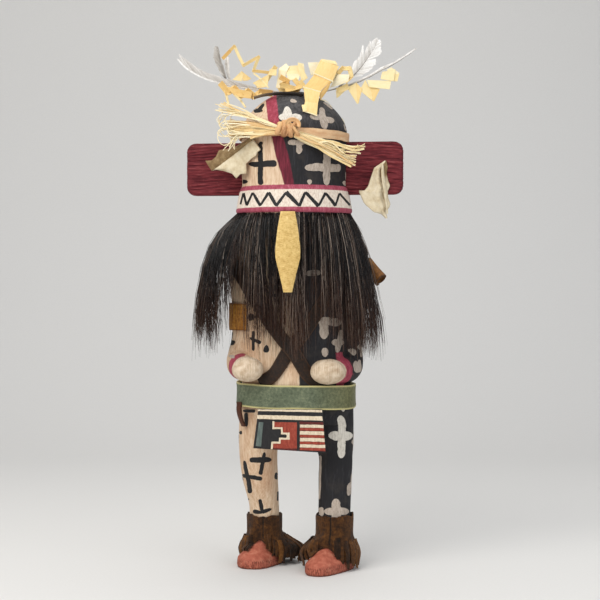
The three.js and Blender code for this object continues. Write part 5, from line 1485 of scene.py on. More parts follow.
def raffia():
    rr = np.random.default_rng(23)
    soup = Soup("Along", "Across", "Tone")
    n = 16
    t = np.linspace(0, 1, n)

    def strand(pts, w0, w1, tone, thick=0.16, twist=0.3, curl=0.35):
        pts = np.asarray(pts, float)
        P = Spline(pts)(t)
        sd = int(rr.integers(1, 9999))
        P = P + curl * t[:, None] ** 1.3 * np.stack([vnoise(np.stack([t * 9, t * 0 + sd, t * 0], -1), 2.2, sd + q) for q in (0, 1, 2)], -1)
        T = unit(np.gradient(P, axis=0))
        W = unit(np.cross(T, [0, -1.0, 0]))
        B = np.cross(T, W)
        a = rr.normal(0, 0.4) + rr.normal(0, twist) * t * 3
        W = W * cos(a)[:, None] + B * sin(a)[:, None]
        slab(soup, strip_grid(P, lerp(w0, w1, t), W, 3, 0.08), thick, Tone=tone)

    def pt(u, v, dy=0.0, fan=FAN_L):
        Y = fan(u) + dy
        return V2(u, v, Y)

    # golden bundle to the viewer's left
    for k in range(46):
        s = rr.uniform(-1, 1)
        dy = rr.uniform(-1.6, 1.4)
        endu, endv = rr.uniform(-33, -26.5), 207.6 + s * 3.3 + rr.normal(0, 0.5)
        strand([pt(-6.5, 206.8 + s * 0.9, dy * 0.3), pt(-12, 206.8 + s * 1.9, dy * 0.7), pt(-19, 207.3 + s * 2.9, dy), pt(endu, endv, dy * 1.1)], rr.uniform(0.9, 1.5), rr.uniform(0.35, 0.8), np.clip(rr.normal(0.50, 0.16), 0.05, 0.95))
    # long pale strands above the bundle
    for k in range(24):
        dy = rr.uniform(-1.6, 1.6)
        endu, endv = rr.uniform(-39, -31), rr.uniform(214.5, 220.5)
        strand([pt(-6.8, 207.9, dy * 0.3), pt(-14, 210.2 + rr.normal(0, 0.5), dy), pt(-24, 213.8 + rr.normal(0, 0.8), dy), pt(endu, endv, dy)], rr.uniform(0.6, 1.1), rr.uniform(0.25, 0.5), np.clip(rr.normal(0.74, 0.12), 0, 1), curl=0.6)
    # pale hooks and loops at the far left
    for k in range(20):
        dy = rr.uniform(-2.4, 1.8)
        u0, v0 = rr.uniform(-30, -24.5), rr.uniform(203.5, 212)
        r, turn, squash = rr.uniform(1.6, 4.2), rr.uniform(2.2, 4.8), rr.uniform(0.55, 1.0)
        sg = 1 if rr.random() < 0.6 else -1
        cu, cv = u0 - rr.uniform(1.5, 5.5), v0 + sg * r * 0.7
        arc = [pt(cu + r * math.sin(q) * -1, cv - sg * r * squash * math.cos(q), dy + 0.9 * math.sin(q * 0.7 + k)) for q in np.linspace(0.1, turn, 6)]
        strand([pt(u0 + 6, v0 - 0.4, dy * 0.6), pt(u0 + 1.5, v0 - sg * 0.2, dy)] + arc, 0.55, 0.26, np.clip(rr.normal(0.82, 0.1), 0, 1), curl=0.4, thick=0.2)
    # a pale quill tip and a curl of fibre on the dark side of the dome
    strand([pt(21.6, 212.4, 27.3, FAN_R), pt(22.6, 210.4, 26.8, FAN_R), pt(23.4, 207.4, 26.2, FAN_R)], 0.5, 0.6, 0.9, curl=0.05)
    strand([pt(11.4, 221.4, 18.6, FAN_R), pt(14.6, 220.2, 19.2, FAN_R), pt(16.8, 217.8, 19.6, FAN_R)], 0.6, 0.5, 0.86, curl=0.05)
    # frayed strands that hang at the lower left
    for k in range(12):
        dy = rr.uniform(-1.5, 1.5)
        strand([pt(-20, 206.0 + rr.normal(0, 0.8), dy), pt(-27, 204.6 + rr.normal(0, 0.8), dy), pt(rr.uniform(-31.5, -27.5), rr.uniform(200.6, 203.5), dy), pt(rr.uniform(-34.5, -28.5), rr.uniform(197.0, 200), dy)], 0.6, 0.25, np.clip(rr.normal(0.82, 0.1), 0, 1), curl=0.6)
    # one tan strand along the bundle's underside
    for k in range(4):
        strand([pt(-7, 205.6, -1.2), pt(-12, 205.0, -1.4), pt(-17, 204.0 + 0.3 * k, -1.2), pt(-21.5, 202.6 + 0.5 * k, -0.8)], 0.9, 0.5, 0.36)
    # strands to the viewer's right, in two groups
    for k in range(9):
        dy = rr.uniform(-1.2, 0.9)
        strand([pt(0.4, 205.6 + rr.normal(0, 0.5), dy * 0.3, FAN_R), pt(9, 203.2 + rr.normal(0, 0.6), dy, FAN_R), pt(19, 200.2 + rr.normal(0, 0.9), dy, FAN_R), pt(27, rr.uniform(197.0, 199.6), dy, FAN_R), pt(rr.uniform(29, 33.8), rr.uniform(197.6, 201.4), dy, FAN_R)], rr.uniform(0.9, 1.3), rr.uniform(0.6, 0.9), np.clip(rr.normal(0.70, 0.14), 0, 1), curl=0.45)
    for k in range(12):
        dy = rr.uniform(-1.4, 0.9)
        e = rr.uniform(0, 1)
        strand([pt(0.2, 205.2 + rr.normal(0, 0.5), dy * 0.3, FAN_R), pt(8, 202.2 + rr.normal(0, 0.8), dy, FAN_R), pt(16, 198.6 + rr.normal(0, 1.0), dy, FAN_R), pt(lerp(26, 22, e), lerp(197.4, 193.2, e), dy, FAN_R), pt(lerp(31.4, 26.4, e), lerp(197.2, 191.2, e) + rr.normal(0, 0.8), dy, FAN_R)], rr.uniform(0.6, 1.0), rr.uniform(0.4, 0.7), np.clip(rr.normal(0.70, 0.14), 0, 1), curl=0.5)
    for k in range(11):
        dy = rr.uniform(-1.2, 0.9)
        strand([pt(-0.8, 204.6 + rr.normal(0, 0.5), dy * 0.3, FAN_R), pt(7, 200.8 + rr.normal(0, 0.7), dy, FAN_R), pt(15, 196.6 + rr.normal(0, 0.8), dy, FAN_R), pt(rr.uniform(25, 28.8), rr.uniform(189.2, 192.4), dy, FAN_R)], rr.uniform(0.9, 1.4), rr.uniform(0.5, 0.9), np.clip(rr.normal(0.64, 0.16), 0, 1), curl=0.35)
    # the knot: wraps round the bundle
    core = []
    for la in np.linspace(-pi / 2 + 0.06, pi / 2 - 0.06, 14):
        b = np.arange(22) * 2 * pi / 22
        core.append(np.stack([-4.0 + 4.4 * np.full(22, sin(la)), -27.5 - 2.3 * cos(la) * cos(b), 204.6 + 3.0 * cos(la) * sin(b)], -1))
    loft(soup, np.stack(core), Tone=0.15, Along=0.5, Across=0.5)
    for x0, r, lean, w, tn, ph in ((-7.6, 3.0, 0.22, 2.4, 0.10, 0.0), (-5.3, 3.7, 0.05, 2.2, -0.06, 0.7), (-3.0, 3.9, -0.25, 2.2, 0.04, 1.4), (-1.0, 3.4, -0.62, 2.0, 0.12, 2.1), (-2.2, 3.6, 0.75, 1.6, -0.04, 2.9)):
        a = np.arange(40) * 2 * pi / 40
        Y = -27.5 - 0.78 * r * cos(a)
        Z = 204.7 + r * sin(a)
        X = x0 + lean * (Z - 204.7) + 0.25 * sin(2 * a + ph)
        P = np.stack([X, Y, Z], -1)
        out = unit(np.stack([0 * a, -cos(a), sin(a)], -1))
        s = np.linspace(-0.5, 0.5, 6)
        W = unit(np.stack([np.ones(40), 0 * a, 0 * a - 0.1], -1))
        G = P[:, None] + W[:, None] * (s * w)[None, :, None] - out[:, None] * (0.5 * (2 * s) ** 2)[None, :, None]
        # the tone rises with height round each wrap, so it is lighter on top and darker underneath: painted light from
        # above and painted shade below
        slab(soup, G, 0.45, N=out[:, None], wrap_n=True, Tone=tn + 0.1 * sin(a)[:, None] + 0 * s[None])
    # a loose loop of the wrap at its upper right
    aq = np.linspace(-0.4, pi + 0.6, 30)
    LP = np.stack([-1.4 + 2.7 * cos(aq), -30.2 + 0.6 * sin(aq * 2), 206.2 + 2.3 * sin(aq)], -1)
    slab(soup, strip_grid(LP, 1.7, unit(np.stack([cos(aq), -0.35 + 0 * aq, sin(aq)], -1)), 5, 0.3), 0.6, Tone=0.10)
    soup.build("raffia_bundle", RAFFIA, "raffia", ["raffia_tie"], angle=70)

    # flat strip round the head
    soup = Soup("Along", "Across", "Tone")
    n2, m2 = 150, 8
    a = np.radians(np.linspace(3, 357, n2))
    h = np.linspace(0, 1, m2)
    x = 25.7 * sin(a)
    drop = -0.036 * (x + 2) * (cos(a) > -0.3) * np.clip(cos(a) + 0.6, 0, 1)
    Z = 201.5 + 4.1 * h[None] + drop[:, None] + 0.12 * vnoise(np.stack([a * 12, a * 0, a * 0], -1), 1.0, 171)[:, None]
    r = 25.62 + 0.14 * vnoise(np.stack([a[:, None] * 20 + 0 * Z, Z, Z * 0], -1), (2, 1.2, 1), 172)
    P = np.stack([-0.8 + r * sin(a)[:, None], -r * cos(a)[:, None], Z], -1)
    out = np.stack([sin(a), -cos(a), 0 * a], -1)[:, None]
    slab(soup, P, 0.55, N=out, Tone=0.30 + 0.16 * vnoise(np.stack([a[:, None] * 9 + 0 * Z, Z * 1.5, Z * 0], -1), 1.0, 173))
    soup.build("headband_strip", raffia_material("Tan husk strip", [(0.15, C(184, 132, 92)), (0.34, C(214, 170, 126)), (0.50, C(226, 192, 150)), (0.72, C(238, 214, 180))]), "cornhusk", ["husk_headband"], angle=70)


raffia()


# ================================================================ folded cornhusk
def husk_leg(soup, p, q, w, tilt, tone, over=0.5, w2=None, thick=0.3, bow=0.25, seed=0):
    """One flat run of a folded strip between two folds, tilted about its own length."""
    p, q = np.asarray(p, float), np.asarray(q, float)
    T = unit(q - p)
    p, q = p - T * over, q + T * over
    n, m = 9, 6
    t = np.linspace(0, 1, n)
    W = unit(np.cross(T, [0, -1.0, 0]))
    B = np.cross(T, W)
    W = W * math.cos(tilt) + B * math.sin(tilt)
    N = np.cross(T, W)
    P = p[None] + (q - p)[None] * t[:, None] + N[None] * (bow * sin(pi * t))[:, None]
    w_ = lerp(w, w if w2 is None else w2, t)
    s = np.linspace(-0.5, 0.5, m)
    G = P[:, None] + W[None, None] * (s[None, :, None] * w_[:, None, None]) + N[None, None] * (0.10 * w * (1 - 4 * s * s))[None, :, None] * 0.5
    G = G + 0.10 * vnoise(G, 1.8, 180 + seed)[..., None] * N
    slab(soup, G, thick, Tone=tone, rounded=0.2)


def husk_chain(soup, pts, w, tilts, tones, over=None, seed=0, step=0.34):
    """pts are (u, v, Y) corners; alternate runs stand a little in front of one another."""
    P = [V2(u, v, Y) for u, v, Y in pts]
    for i in range(len(P) - 1):
        d = np.array([0, (step if i % 2 else -step) * 0.5, 0])
        husk_leg(soup, P[i] + d, P[i + 1] + d, w, tilts[i % len(tilts)], tones[i % len(tones)], over if over is not None else w * 0.28, seed=seed + i)


def husk_quad(soup, corners, tone, thick=0.28, bow=0.2, seed=0):
    """A flat facet of folded husk between four corners (u, v, Y); the grain runs from the first to the second."""
    a, b, c, d = (V2(*k) for k in corners)
    n, m = 9, 7
    s, t = np.linspace(0, 1, n)[:, None, None], np.linspace(0, 1, m)[None, :, None]
    G = (a * (1 - s) + b * s) * (1 - t) + (d * (1 - s) + c * s) * t
    N = unit(np.cross(b - a, d - a))
    G = G + N * (bow * sin(pi * s) * sin(pi * t)) + 0.09 * vnoise(G, 1.8, 200 + seed)[..., None] * N
    slab(soup, G, thick, Tone=tone, rounded=0.15)


def husks():
    # Each run's and facet's tone carries both the husk's own colour and the light or shade on it: in the folded chains
    # the runs tilted one way are painted darker and those tilted the other way lighter, as painted shade and light.
    # thin zigzag at the far left of the crown
    s = Soup("Along", "Across", "Tone")
    zig = [(-34.2, 240.6, -8.4), (-28.9, 246.2, -8.4), (-24.6, 237.2, -8.4), (-17.4, 241.2, -8.4), (-20.0, 234.6, -8.4), (-11.4, 233.6, -8.0)]
    husk_chain(s, zig, 1.45, [0.5, -0.35, 0.45, -0.5], [0.30, 0.62, 0.40, 0.56], over=0.45, seed=1)
    husk_leg(s, V2(-34.4, 240.4, -8.7), V2(-31.0, 244.0, -8.7), 1.6, 0.4, 0.10, over=0.1, seed=7)
    husk_chain(s, [(-12.0, 233.2, -8.0), (-9.6, 236.4, -8.2), (-14.2, 229.6, -8.6), (-18.2, 227.6, -8.8)], 2.2, [0.4, -0.6, 0.3], [0.44, 0.58, 0.50], over=0.5, seed=9)
    husk_quad(s, [(-12.4, 235.6, -8.8), (-9.0, 235.4, -8.8), (-9.2, 232.4, -8.8), (-12.8, 232.6, -8.8)], 0.56, seed=12)
    husk_chain(s, [(-19.8, 233.4, -9.4), (-16.4, 230.8, -9.4), (-13.2, 227.0, -9.6)], 0.8, [0.2], [0.74], over=0.3, seed=15)
    husk_quad(s, [(-20.4, 229.0, -9.2), (-12.6, 233.2, -9.0), (-13.4, 227.2, -9.2), (-17.2, 226.6, -9.2)], 0.50, seed=16)
    s.build("husk_zigzag", HUSK, "cornhusk", ["husk_zigzag_left"], angle=50)

    # accordion under the long feather
    s = Soup("Along", "Across", "Tone")
    husk_chain(s, [(-35.4, 228.6, -6.4), (-32.2, 224.6, -6.6), (-29.2, 226.6, -6.8), (-26.0, 222.8, -6.8), (-23.0, 225.2, -7.0), (-20.0, 222.6, -7.0), (-17.0, 224.6, -7.2), (-11.6, 224.0, -7.2)], 3.3, [0.6, -0.5, 0.55, -0.65], [0.20, 0.34, 0.16, 0.42], over=0.6, seed=21)
    husk_quad(s, [(-33.0, 227.4, -7.6), (-20.6, 224.8, -7.8), (-21.2, 221.6, -7.8), (-28.6, 222.6, -7.6)], 0.22, seed=27)
    husk_chain(s, [(-35.2, 228.8, -6.0), (-33.2, 225.4, -6.0), (-32.4, 221.6, -6.2), (-31.9, 218.4, -6.4)], 1.1, [0.3, -0.2], [0.66, 0.70], over=0.3, seed=31)
    husk_chain(s, [(-28.8, 223.2, -7.9), (-26.2, 221.0, -7.9), (-23.9, 217.8, -8.0)], 0.9, [0.3, 0.1], [0.66], over=0.3, seed=35)
    husk_quad(s, [(-30.0, 230.4, -5.6), (-25.6, 234.6, -5.6), (-24.8, 233.0, -5.4), (-25.4, 229.8, -5.4)], 0.62, seed=41)
    husk_quad(s, [(-25.6, 234.6, -5.4), (-21.0, 231.0, -5.4), (-22.4, 230.2, -5.2), (-25.0, 230.0, -5.2)], 0.40, seed=42)
    s.build("husk_accordion_left", HUSK, "cornhusk", ["husk_fold_left"], angle=50)

    # pale cluster behind the middle of the crown, with orange folds inside
    s = Soup("Along", "Across", "Tone")
    husk_quad(s, [(-9.4, 226.8, -6.4), (-8.0, 235.2, -6.6), (-4.6, 234.6, -7.6), (-5.4, 225.8, -7.4)], 0.90, seed=51)
    husk_quad(s, [(-8.4, 235.4, -6.2), (-4.6, 238.2, -6.2), (-3.2, 236.4, -7.2), (-4.8, 233.2, -7.4)], 0.96, seed=52)
    husk_quad(s, [(-4.8, 236.8, -6.4), (2.2, 237.4, -6.4), (2.4, 232.8, -7.6), (-4.4, 232.4, -7.6)], 0.72, seed=53)
    husk_quad(s, [(-4.4, 233.2, -8.0), (2.0, 233.4, -8.0), (1.4, 230.6, -8.8), (-3.8, 230.2, -8.8)], 0.88, seed=54)
    husk_quad(s, [(1.8, 238.4, -8.6), (5.6, 231.4, -9.0), (3.0, 229.4, -9.4), (0.4, 236.6, -8.8)], 0.64, seed=55)
    husk_quad(s, [(0.8, 238.6, -7.4), (3.6, 238.0, -7.6), (4.4, 232.6, -8.4), (2.2, 232.4, -8.4)], 0.80, seed=56)
    husk_chain(s, [(-7.2, 231.6, -9.6), (-3.6, 229.4, -10.2), (-7.0, 227.8, -10.2), (-1.4, 226.4, -10.6), (-4.6, 225.6, -10.4), (2.4, 227.4, -10.0), (-0.6, 230.6, -9.8)], 2.5, [0.5, -0.6, 0.4], [0.10, 0.22, 0.28], over=0.4, seed=61, step=0.7)
    husk_quad(s, [(-8.8, 226.6, -9.0), (2.4, 226.2, -9.0), (1.4, 224.6, -8.6), (-7.8, 225.0, -8.6)], 0.30, seed=66)
    husk_chain(s, [(1.8, 229.8, -10.2), (4.6, 226.0, -10.8), (8.0, 224.4, -10.6)], 2.2, [0.4, -0.5], [0.40, 0.30], over=0.3, seed=71)
    husk_quad(s, [(5.6, 238.6, -5.6), (12.0, 238.9, -5.8), (10.4, 233.0, -6.0), (7.0, 232.6, -6.0)], 0.98, seed=77)
    s.build("husk_bunch", HUSK, "cornhusk", ["husk_cluster"], angle=50)

    # broad folded husk at the front
    s = Soup("Along", "Across", "Tone")
    d = lambda u, v, Y: V2(u, v, Y)
    husk_quad(s, [(11.6, 239.9, -7.6), (8.4, 233.4, -10.4), (17.2, 229.8, -10.4), (20.2, 236.8, -7.6)], 0.36, thick=0.35, bow=0.7, seed=81)
    husk_quad(s, [(12.0, 240.2, -7.4), (11.6, 239.0, -7.9), (19.6, 237.4, -7.9), (18.6, 239.2, -7.4)], 0.62, thick=0.3, bow=0.2, seed=80)
    husk_quad(s, [(8.9, 233.3, -10.2), (3.8, 227.0, -14.2), (11.4, 225.0, -14.2), (16.6, 230.2, -10.2)], 0.24, thick=0.35, bow=0.3, seed=82)
    husk_quad(s, [(16.6, 230.2, -10.4), (11.0, 224.2, -13.6), (11.4, 220.8, -13.6), (15.4, 226.4, -11.0)], 0.16, thick=0.35, bow=0.2, seed=83)
    husk_quad(s, [(3.6, 226.8, -14.6), (4.3, 220.2, -18.8), (10.4, 219.6, -18.8), (11.4, 224.8, -14.6)], 0.32, thick=0.4, bow=0.6, seed=84)
    husk_quad(s, [(4.3, 220.4, -18.6), (3.4, 216.0, -22.2), (9.8, 213.8, -22.2), (10.4, 219.8, -18.6)], 0.38, thick=0.4, bow=0.3, seed=85)
    husk_quad(s, [(2.7, 218.6, -20.0), (3.3, 215.8, -22.6), (5.0, 215.6, -22.8), (4.8, 218.8, -20.0)], 0.56, thick=0.3, bow=0.3, seed=89)
    # thin lighter strips along three folds: painted highlights where the folds catch the light
    for p, q, w in (((8.0, 233.7, -10.9), (17.4, 229.7, -10.9), 0.6), ((3.3, 227.0, -14.9), (11.6, 224.8, -14.9), 0.6), ((3.3, 215.9, -22.5), (9.9, 213.7, -22.5), 0.45)):
        husk_leg(s, d(*p), d(*q), w, 0.3, 0.88, over=0.1, thick=0.4, bow=0.1, seed=86)
    s.build("husk_front", HUSK, "cornhusk", ["husk_fold_front"], angle=50)

    # sawtooth strip to the right, with the loop beside the feather
    s = Soup("Along", "Across", "Tone")
    husk_quad(s, [(18.8, 225.4, -4.6), (19.1, 221.8, -4.6), (20.2, 222.6, -4.4), (24.6, 226.6, -4.4)], 0.62, bow=0.1, seed=90)
    husk_quad(s, [(18.6, 226.2, -4.9), (24.2, 229.0, -4.9), (25.2, 226.2, -4.9), (20.4, 224.0, -4.9)], 0.50, bow=0.1, seed=91)
    husk_quad(s, [(24.0, 226.8, -4.6), (28.7, 219.3, -4.8), (29.2, 219.2, -4.8), (28.5, 229.2, -4.0)], 0.58, bow=0.1, seed=92)
    husk_quad(s, [(28.4, 229.2, -4.0), (29.1, 219.2, -4.8), (29.5, 219.4, -4.8), (31.2, 226.2, -5.2)], 0.40, bow=0.1, seed=93)
    husk_quad(s, [(29.9, 225.6, -5.0), (32.7, 230.5, -4.4), (36.4, 223.0, -4.4), (35.6, 220.9, -4.8)], 0.60, bow=0.1, seed=94)
    husk_quad(s, [(34.0, 227.4, -4.0), (36.0, 220.5, -4.6), (36.9, 220.5, -4.6), (39.6, 226.2, -4.4)], 0.38, bow=0.1, seed=95)
    husk_quad(s, [(33.4, 230.4, -5.0), (44.9, 230.0, -5.0), (44.1, 226.0, -5.2), (34.6, 227.0, -5.2)], 0.80, bow=0.2, seed=96)
    husk_quad(s, [(41.0, 229.4, -4.6), (44.8, 229.8, -4.4), (44.2, 226.0, -4.6), (42.6, 226.2, -4.8)], 0.54, bow=0.1, seed=97)
    husk_quad(s, [(39.7, 230.8, -5.4), (40.6, 234.2, -5.2), (46.8, 235.4, -5.0), (46.0, 229.8, -5.4)], 0.74, bow=0.2, seed=98)
    husk_quad(s, [(42.6, 235.2, -4.8), (44.9, 236.4, -4.8), (48.7, 233.6, -4.6), (46.2, 232.4, -4.6)], 0.88, bow=0.1, seed=99)
    husk_quad(s, [(46.2, 233.0, -4.7), (48.7, 233.6, -4.6), (47.8, 229.8, -4.8), (45.6, 229.8, -4.8)], 0.60, bow=0.1, seed=100)
    husk_chain(s, [(20.2, 233.6, -7.0), (22.2, 236.0, -6.8), (25.0, 236.0, -6.6), (26.0, 232.2, -6.8), (23.4, 229.8, -7.2)], 2.3, [0.7, -0.5, 0.6], [0.34, 0.44, 0.56], over=0.5, seed=106, step=0.6)
    husk_quad(s, [(15.8, 226.6, -7.2), (24.6, 229.4, -7.2), (25.2, 233.0, -7.4), (19.6, 233.0, -7.4)], 0.97, bow=0.3, seed=111)
    husk_quad(s, [(15.0, 227.8, -6.6), (20.4, 231.6, -6.6), (19.4, 235.6, -6.8), (17.4, 232.6, -6.8)], 0.84, bow=0.3, seed=112)
    s.build("husk_sawtooth", HUSK, "cornhusk", ["husk_fold_right"], angle=50)


husks()


# ================================================================ feathers
def feather_material():
    m = Mat("Feather", rough=0.66, spec=0.3)
    tone, al = m.attr("Tone"), m.attr("Along")
    g = m.noise(1.2, 4, 0.6)
    f = m.math("MULTIPLY_ADD", tone, 0.7, m.math("MULTIPLY_ADD", g, 0.22, m.math("MULTIPLY", al, 0.10)))
    m.colour(m.ramp(f, [(0.08, C(70, 66, 62)), (0.28, C(118, 113, 107)), (0.5, C(168, 163, 156)), (0.7, C(208, 205, 200)), (0.9, C(240, 239, 236))]))
    m.bump(g, 0.3, 0.08)
    return m.m


FEATHER = feather_material()


def feather(name, node, pts, wl, wr, tones, seed, start=0.2, angle=33, clefts=(), pitch=0.42, shaft=0.42, shaft_tone=0.75, bend=0.0, tilt=0.25):
    """pts: (u, v, Y) along the shaft; wl, wr: half widths on its left and right against t; tones: left, right."""
    rf = np.random.default_rng(seed)
    P = np.array([V2(u, v, Y) for u, v, Y in pts])
    curve = Spline(P)
    soup = Soup("Along", "Across", "Tone")
    tt = np.linspace(0, 1, 26)
    S = curve(tt)
    L = np.linalg.norm(np.diff(S, axis=0), axis=1).sum()
    tubes(soup, S, shaft * (1 - 0.8 * tt**1.2), sides=6, Tone=shaft_tone)
    count = int(L * (1 - start) / pitch)
    for side, width, tone in ((1, wl, tones[0]), (-1, wr, tones[1])):
        group = rf.normal(0, 1, 60)
        for k in range(count):
            s = start + (1 - start) * (k + 0.5 * rf.random()) / count
            w = np.interp(s, *zip(*width)) * (1 + rf.normal(0, 0.035))
            if w < 0.15:
                continue
            p0, T = curve(s)[0], curve.tangent(s)[0]
            W = unit(np.cross([0, -1.0, 0], T)) * side
            B = np.array([0, -1.0, 0])
            a = math.radians(angle) * (1 - 0.18 * s)
            for c0, c1, opening in clefts:
                if side == (1 if c1 > 0 else -1) and s > c0:
                    a -= opening * math.exp(-(s - c0) / 0.05) * (1 if s > c0 else 0)
            a += 0.03 * group[int(s * 22)]
            if any(c1 * side > 0 and c0 <= s < c0 + 0.026 for c0, c1, _ in clefts):
                continue
            length = w / math.sin(math.radians(angle))
            length = min(length, (L * (1 - s) + 0.9) / max(math.cos(a), 0.3))
            q = np.linspace(0, 1, 6)
            run = T * math.cos(a) + W * math.sin(a)
            pts_ = p0 + run * (length * q)[:, None] + T * (0.08 * length * q**2)[:, None] - W * (0.05 * length * q**2)[:, None]
            pts_ = pts_ + B * ((0.18 + tilt * side) * w * 0.35 * sin(pi * q * 0.6))[:, None] + B * (0.02 * (k % 3))
            T2 = unit(np.gradient(pts_, axis=0))
            wd = unit(np.cross(T2, B) + B * 0.12)
            wid = 0.76 * (1 - 0.45 * q**3)
            slab(soup, strip_grid(pts_, wid, wd, 2), 0.07, Tone=float(np.clip(tone + rf.normal(0, 0.07) + 0.06 * group[int(s * 22)], 0, 1)))
    soup.build(name, FEATHER, "feather", [node], angle=60)
    return soup.count()


feather("feather_grey_long", "feather_long_left", [(-7.6, 224.8, -4.6), (-20.5, 226.1, -4.6), (-32.1, 228.0, -4.6), (-43.7, 231.6, -4.6), (-51.4, 236.0, -4.6), (-55.4, 240.0, -4.6)],
    [(0, 0), (0.3, 0.25), (0.8, 0.45), (1, 0.3)], [(0, 0), (0.10, 0.4), (0.2, 1.9), (0.30, 3.2), (0.45, 3.6), (0.58, 4.4), (0.70, 4.5), (0.752, 4.3), (0.762, 2.6), (0.80, 3.0), (0.88, 1.3), (0.94, 0.6), (1, 0.2)], (0.95, 0.62), 61, start=0.10, angle=30, shaft=0.36, shaft_tone=0.86)
feather("feather_small_left", "feather_small_a", [(-31.6, 228.4, -3.2), (-33.9, 233.0, -3.2), (-36.1, 238.8, -3.2), (-37.2, 245.4, -3.2)], [(0, 0), (0.15, 0.8), (0.35, 1.8), (0.6, 2.0), (0.85, 1.4), (1, 0.5)], [(0, 0), (0.15, 0.6), (0.4, 1.4), (0.7, 1.3), (0.9, 0.8), (1, 0.4)], (0.50, 0.34), 62, start=0.2, angle=24, shaft=0.3, shaft_tone=0.2)
feather("feather_small_right", "feather_small_b", [(-30.4, 227.6, -2.0), (-31.9, 232.4, -2.0), (-32.7, 236.2, -2.0), (-33.0, 240.4, -2.0)], [(0, 0), (0.2, 0.3), (0.6, 0.6), (0.9, 0.4), (1, 0.3)], [(0, 0), (0.2, 1.0), (0.5, 2.0), (0.7, 1.8), (0.9, 0.8), (1, 0.4)], (0.6, 0.76), 63, start=0.15, angle=26, shaft=0.3)
feather("feather_white", "feather_upright_right", [(20.0, 227.0, -0.8), (26.7, 232.2, -0.6), (30.6, 236.4, -0.6), (33.6, 240.6, -0.6), (36.4, 244.9, -0.6), (38.3, 248.8, -0.6)],
    [(0, 0), (0.15, 0.33), (0.18, 4.4), (0.33, 4.51), (0.36, 5.28), (0.4, 5.39), (0.44, 5.83), (0.49, 6.16), (0.51, 3.19), (0.59, 3.63), (0.71, 4.07), (0.755, 2.31), (0.8, 2.75), (0.92, 1.65), (1, 0.99)],
    [(0, 0), (0.18, 0.44), (0.21, 3.08), (0.27, 4.07), (0.37, 4.84), (0.43, 4.73), (0.52, 3.85), (0.58, 4.51), (0.65, 4.29), (0.76, 2.97), (0.905, 2.09), (1, 0.88)], (0.86, 0.94), 64, start=0.16, angle=47,
    clefts=((0.335, 1, 0.05), (0.495, 1, 0.03), (0.755, 1, 0.03), (0.52, -1, 0.06)), shaft=0.36, shaft_tone=0.40)
feather("feather_thin_right", "feather_long_right", [(8.6, 223.8, -2.6), (19.9, 226.6, -2.6), (26.7, 228.6, -2.6), (33.0, 231.4, -2.6), (39.3, 234.8, -2.6), (45.6, 238.0, -2.6), (52.0, 242.0, -2.6), (56.8, 245.4, -2.6)],
    [(0, 0), (0.25, 0.6), (0.5, 0.85), (0.8, 0.5), (0.93, 0.25), (1, 0.08)], [(0, 0), (0.25, 0.35), (0.6, 0.45), (0.85, 0.3), (1, 0.06)], (0.80, 0.22), 65, start=0.12, angle=11, shaft=0.36, shaft_tone=0.62)


def binding():
    # A dark bound thread round the quills' base, which also stands as a painted shadow for the dark gap between the
    # dome and the ornaments.
    s = Soup("Along", "Across", "Tone")
    P = Spline([(-19.4, -10.2, 220.7), (-14, -11.0, 221.9), (-7, -12.0, 222.5), (-1, -12.6, 222.4), (3.6, -12.9, 221.7)])(np.linspace(0, 1, 60))
    t = np.linspace(0, 1, 60)
    rad = lerp(0.46, 0.74, np.clip(t * 2.2, 0, 1)) * (1 - 0.35 * np.clip(2 * t - 1.2, 0, 1) ** 2) + 0.05 * sin(t * 150)
    tubes(s, P, rad, sides=10, Tone=0.3)
    for k in range(5):
        off = 0.55 * np.array([0, cos(k * 1.4), sin(k * 1.4)])
        Q = P[::4] + off + 0.12 * vnoise(P[::4] + k * 9, 2.0, 190 + k)[:, None]
        tubes(s, Q, 0.26, sides=5, Tone=0.5 + 0.1 * k)
    m = Mat("Dark bound thread and painted shadow", rough=0.7, spec=0.3)
    g = m.noise(2.0, 3, 0.6, (3, 1, 1))
    dark = m.ramp(m.math("MULTIPLY_ADD", m.attr("Tone"), 0.3, m.math("MULTIPLY", g, 0.7)), [(0.3, C(10, 8, 7)), (0.55, C(30, 22, 16)), (0.8, C(74, 54, 34))])
    m.colour(m.mix(m.span(m.attr("Along"), 0.42, 0.12, 0, 0.85), dark, m.ramp(g, [(0.3, C(78, 62, 48)), (0.7, C(146, 128, 106))])))
    m.bump(g, 0.6, 0.15)
    s.build("dark_binding_and_shadow", m.m, "dark_thread", ["quill_binding"], angle=60)


binding()


# ================================================================ stage, light, camera
def stage_material():
    m = Mat("Pale studio floor", rough=0.9, spec=0.2)
    f = m.noise(0.9, 3, 0.5)
    m.colour(m.ramp(f, [(0.3, C(221, 220, 217)), (0.7, C(224, 223, 220))]))
    return m.m


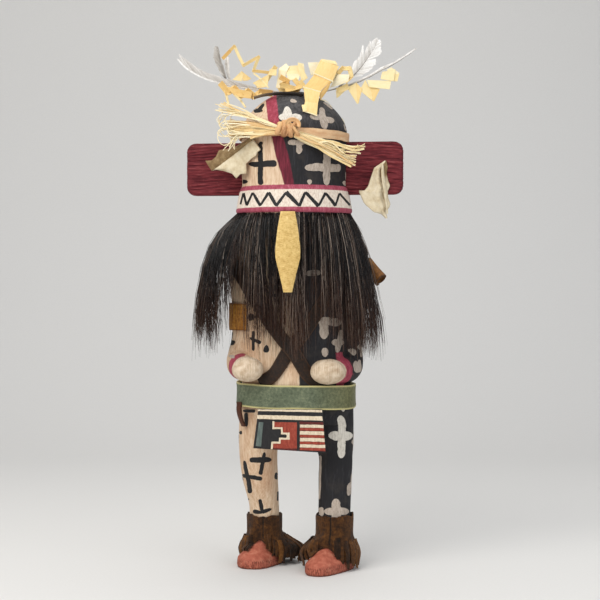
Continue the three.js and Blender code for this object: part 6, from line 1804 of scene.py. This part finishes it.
def stage():
    # a floor that curves up into a backdrop behind the doll
    prof = [(-5200, 0.0), (380, 0.0)]
    for k in range(1, 13):
        a = k / 12 * pi / 2
        prof.append((380 + 420 * math.sin(a), 420 * (1 - math.cos(a))))
    prof.append((800, 2200))
    xs = [-5200, 5200]
    V, F = [], []
    for y, z in prof:
        for x in xs:
            V.append(((x + SHIFT[0]) / 1000, (y + SHIFT[1]) / 1000, z / 1000))
    for i in range(len(prof) - 1):
        F.append((2 * i, 2 * i + 1, 2 * i + 3, 2 * i + 2))
    me = bpy.data.meshes.new("studio_floor")
    me.from_pydata(V, [], F)
    for p in me.polygons:
        p.use_smooth = True
    me.materials.append(stage_material())
    ob = bpy.data.objects.new("studio_floor", me)
    bpy.context.scene.collection.objects.link(ob)


def lamp(name, at, aim, size, watts, colour=(1, 1, 1)):
    data = bpy.data.lights.new(name, "AREA")
    data.shape, data.size, data.size_y = "RECTANGLE", size[0], size[1]
    data.energy, data.color = watts, colour
    ob = bpy.data.objects.new(name, data)
    at, aim = Vector((np.array(at) + SHIFT) / 1000), Vector((np.array(aim) + SHIFT) / 1000)
    ob.location = at
    ob.rotation_euler = (aim - at).to_track_quat("-Z", "Y").to_euler()
    bpy.context.scene.collection.objects.link(ob)


stage()
lamp("key", (-420, -620, 620), (0, 0, 120), (0.75, 0.75), 7.4, (1.0, 0.97, 0.93))
lamp("fill", (620, -560, 330), (0, 0, 120), (0.8, 0.8), 2.6, (0.95, 0.97, 1.0))
lamp("top", (60, 60, 800), (0, 0, 100), (0.6, 0.6), 2.4, (1.0, 0.99, 0.97))
world = bpy.data.worlds.new("studio")
bpy.context.scene.world = world
world.use_nodes = True
bg = world.node_tree.nodes["Background"]
bg.inputs[0].default_value = (0.86, 0.9, 1.0, 1.0)
bg.inputs[1].default_value = 0.30

cam_data = bpy.data.cameras.new("camera")
cam_data.sensor_width = 36.0
cam_data.lens = 82.62
cam_data.clip_start, cam_data.clip_end = 0.05, 20.0
cam = bpy.data.objects.new("camera", cam_data)
cam.location = tuple((EYE + SHIFT) / 1000)
cam.rotation_euler = (math.radians(90 - 1.161), 0, 0)
bpy.context.scene.collection.objects.link(cam)
bpy.context.scene.camera = cam
view = bpy.context.scene.view_settings
view.view_transform = "Standard"
view.look = "None"

bpy.context.view_layer.update()
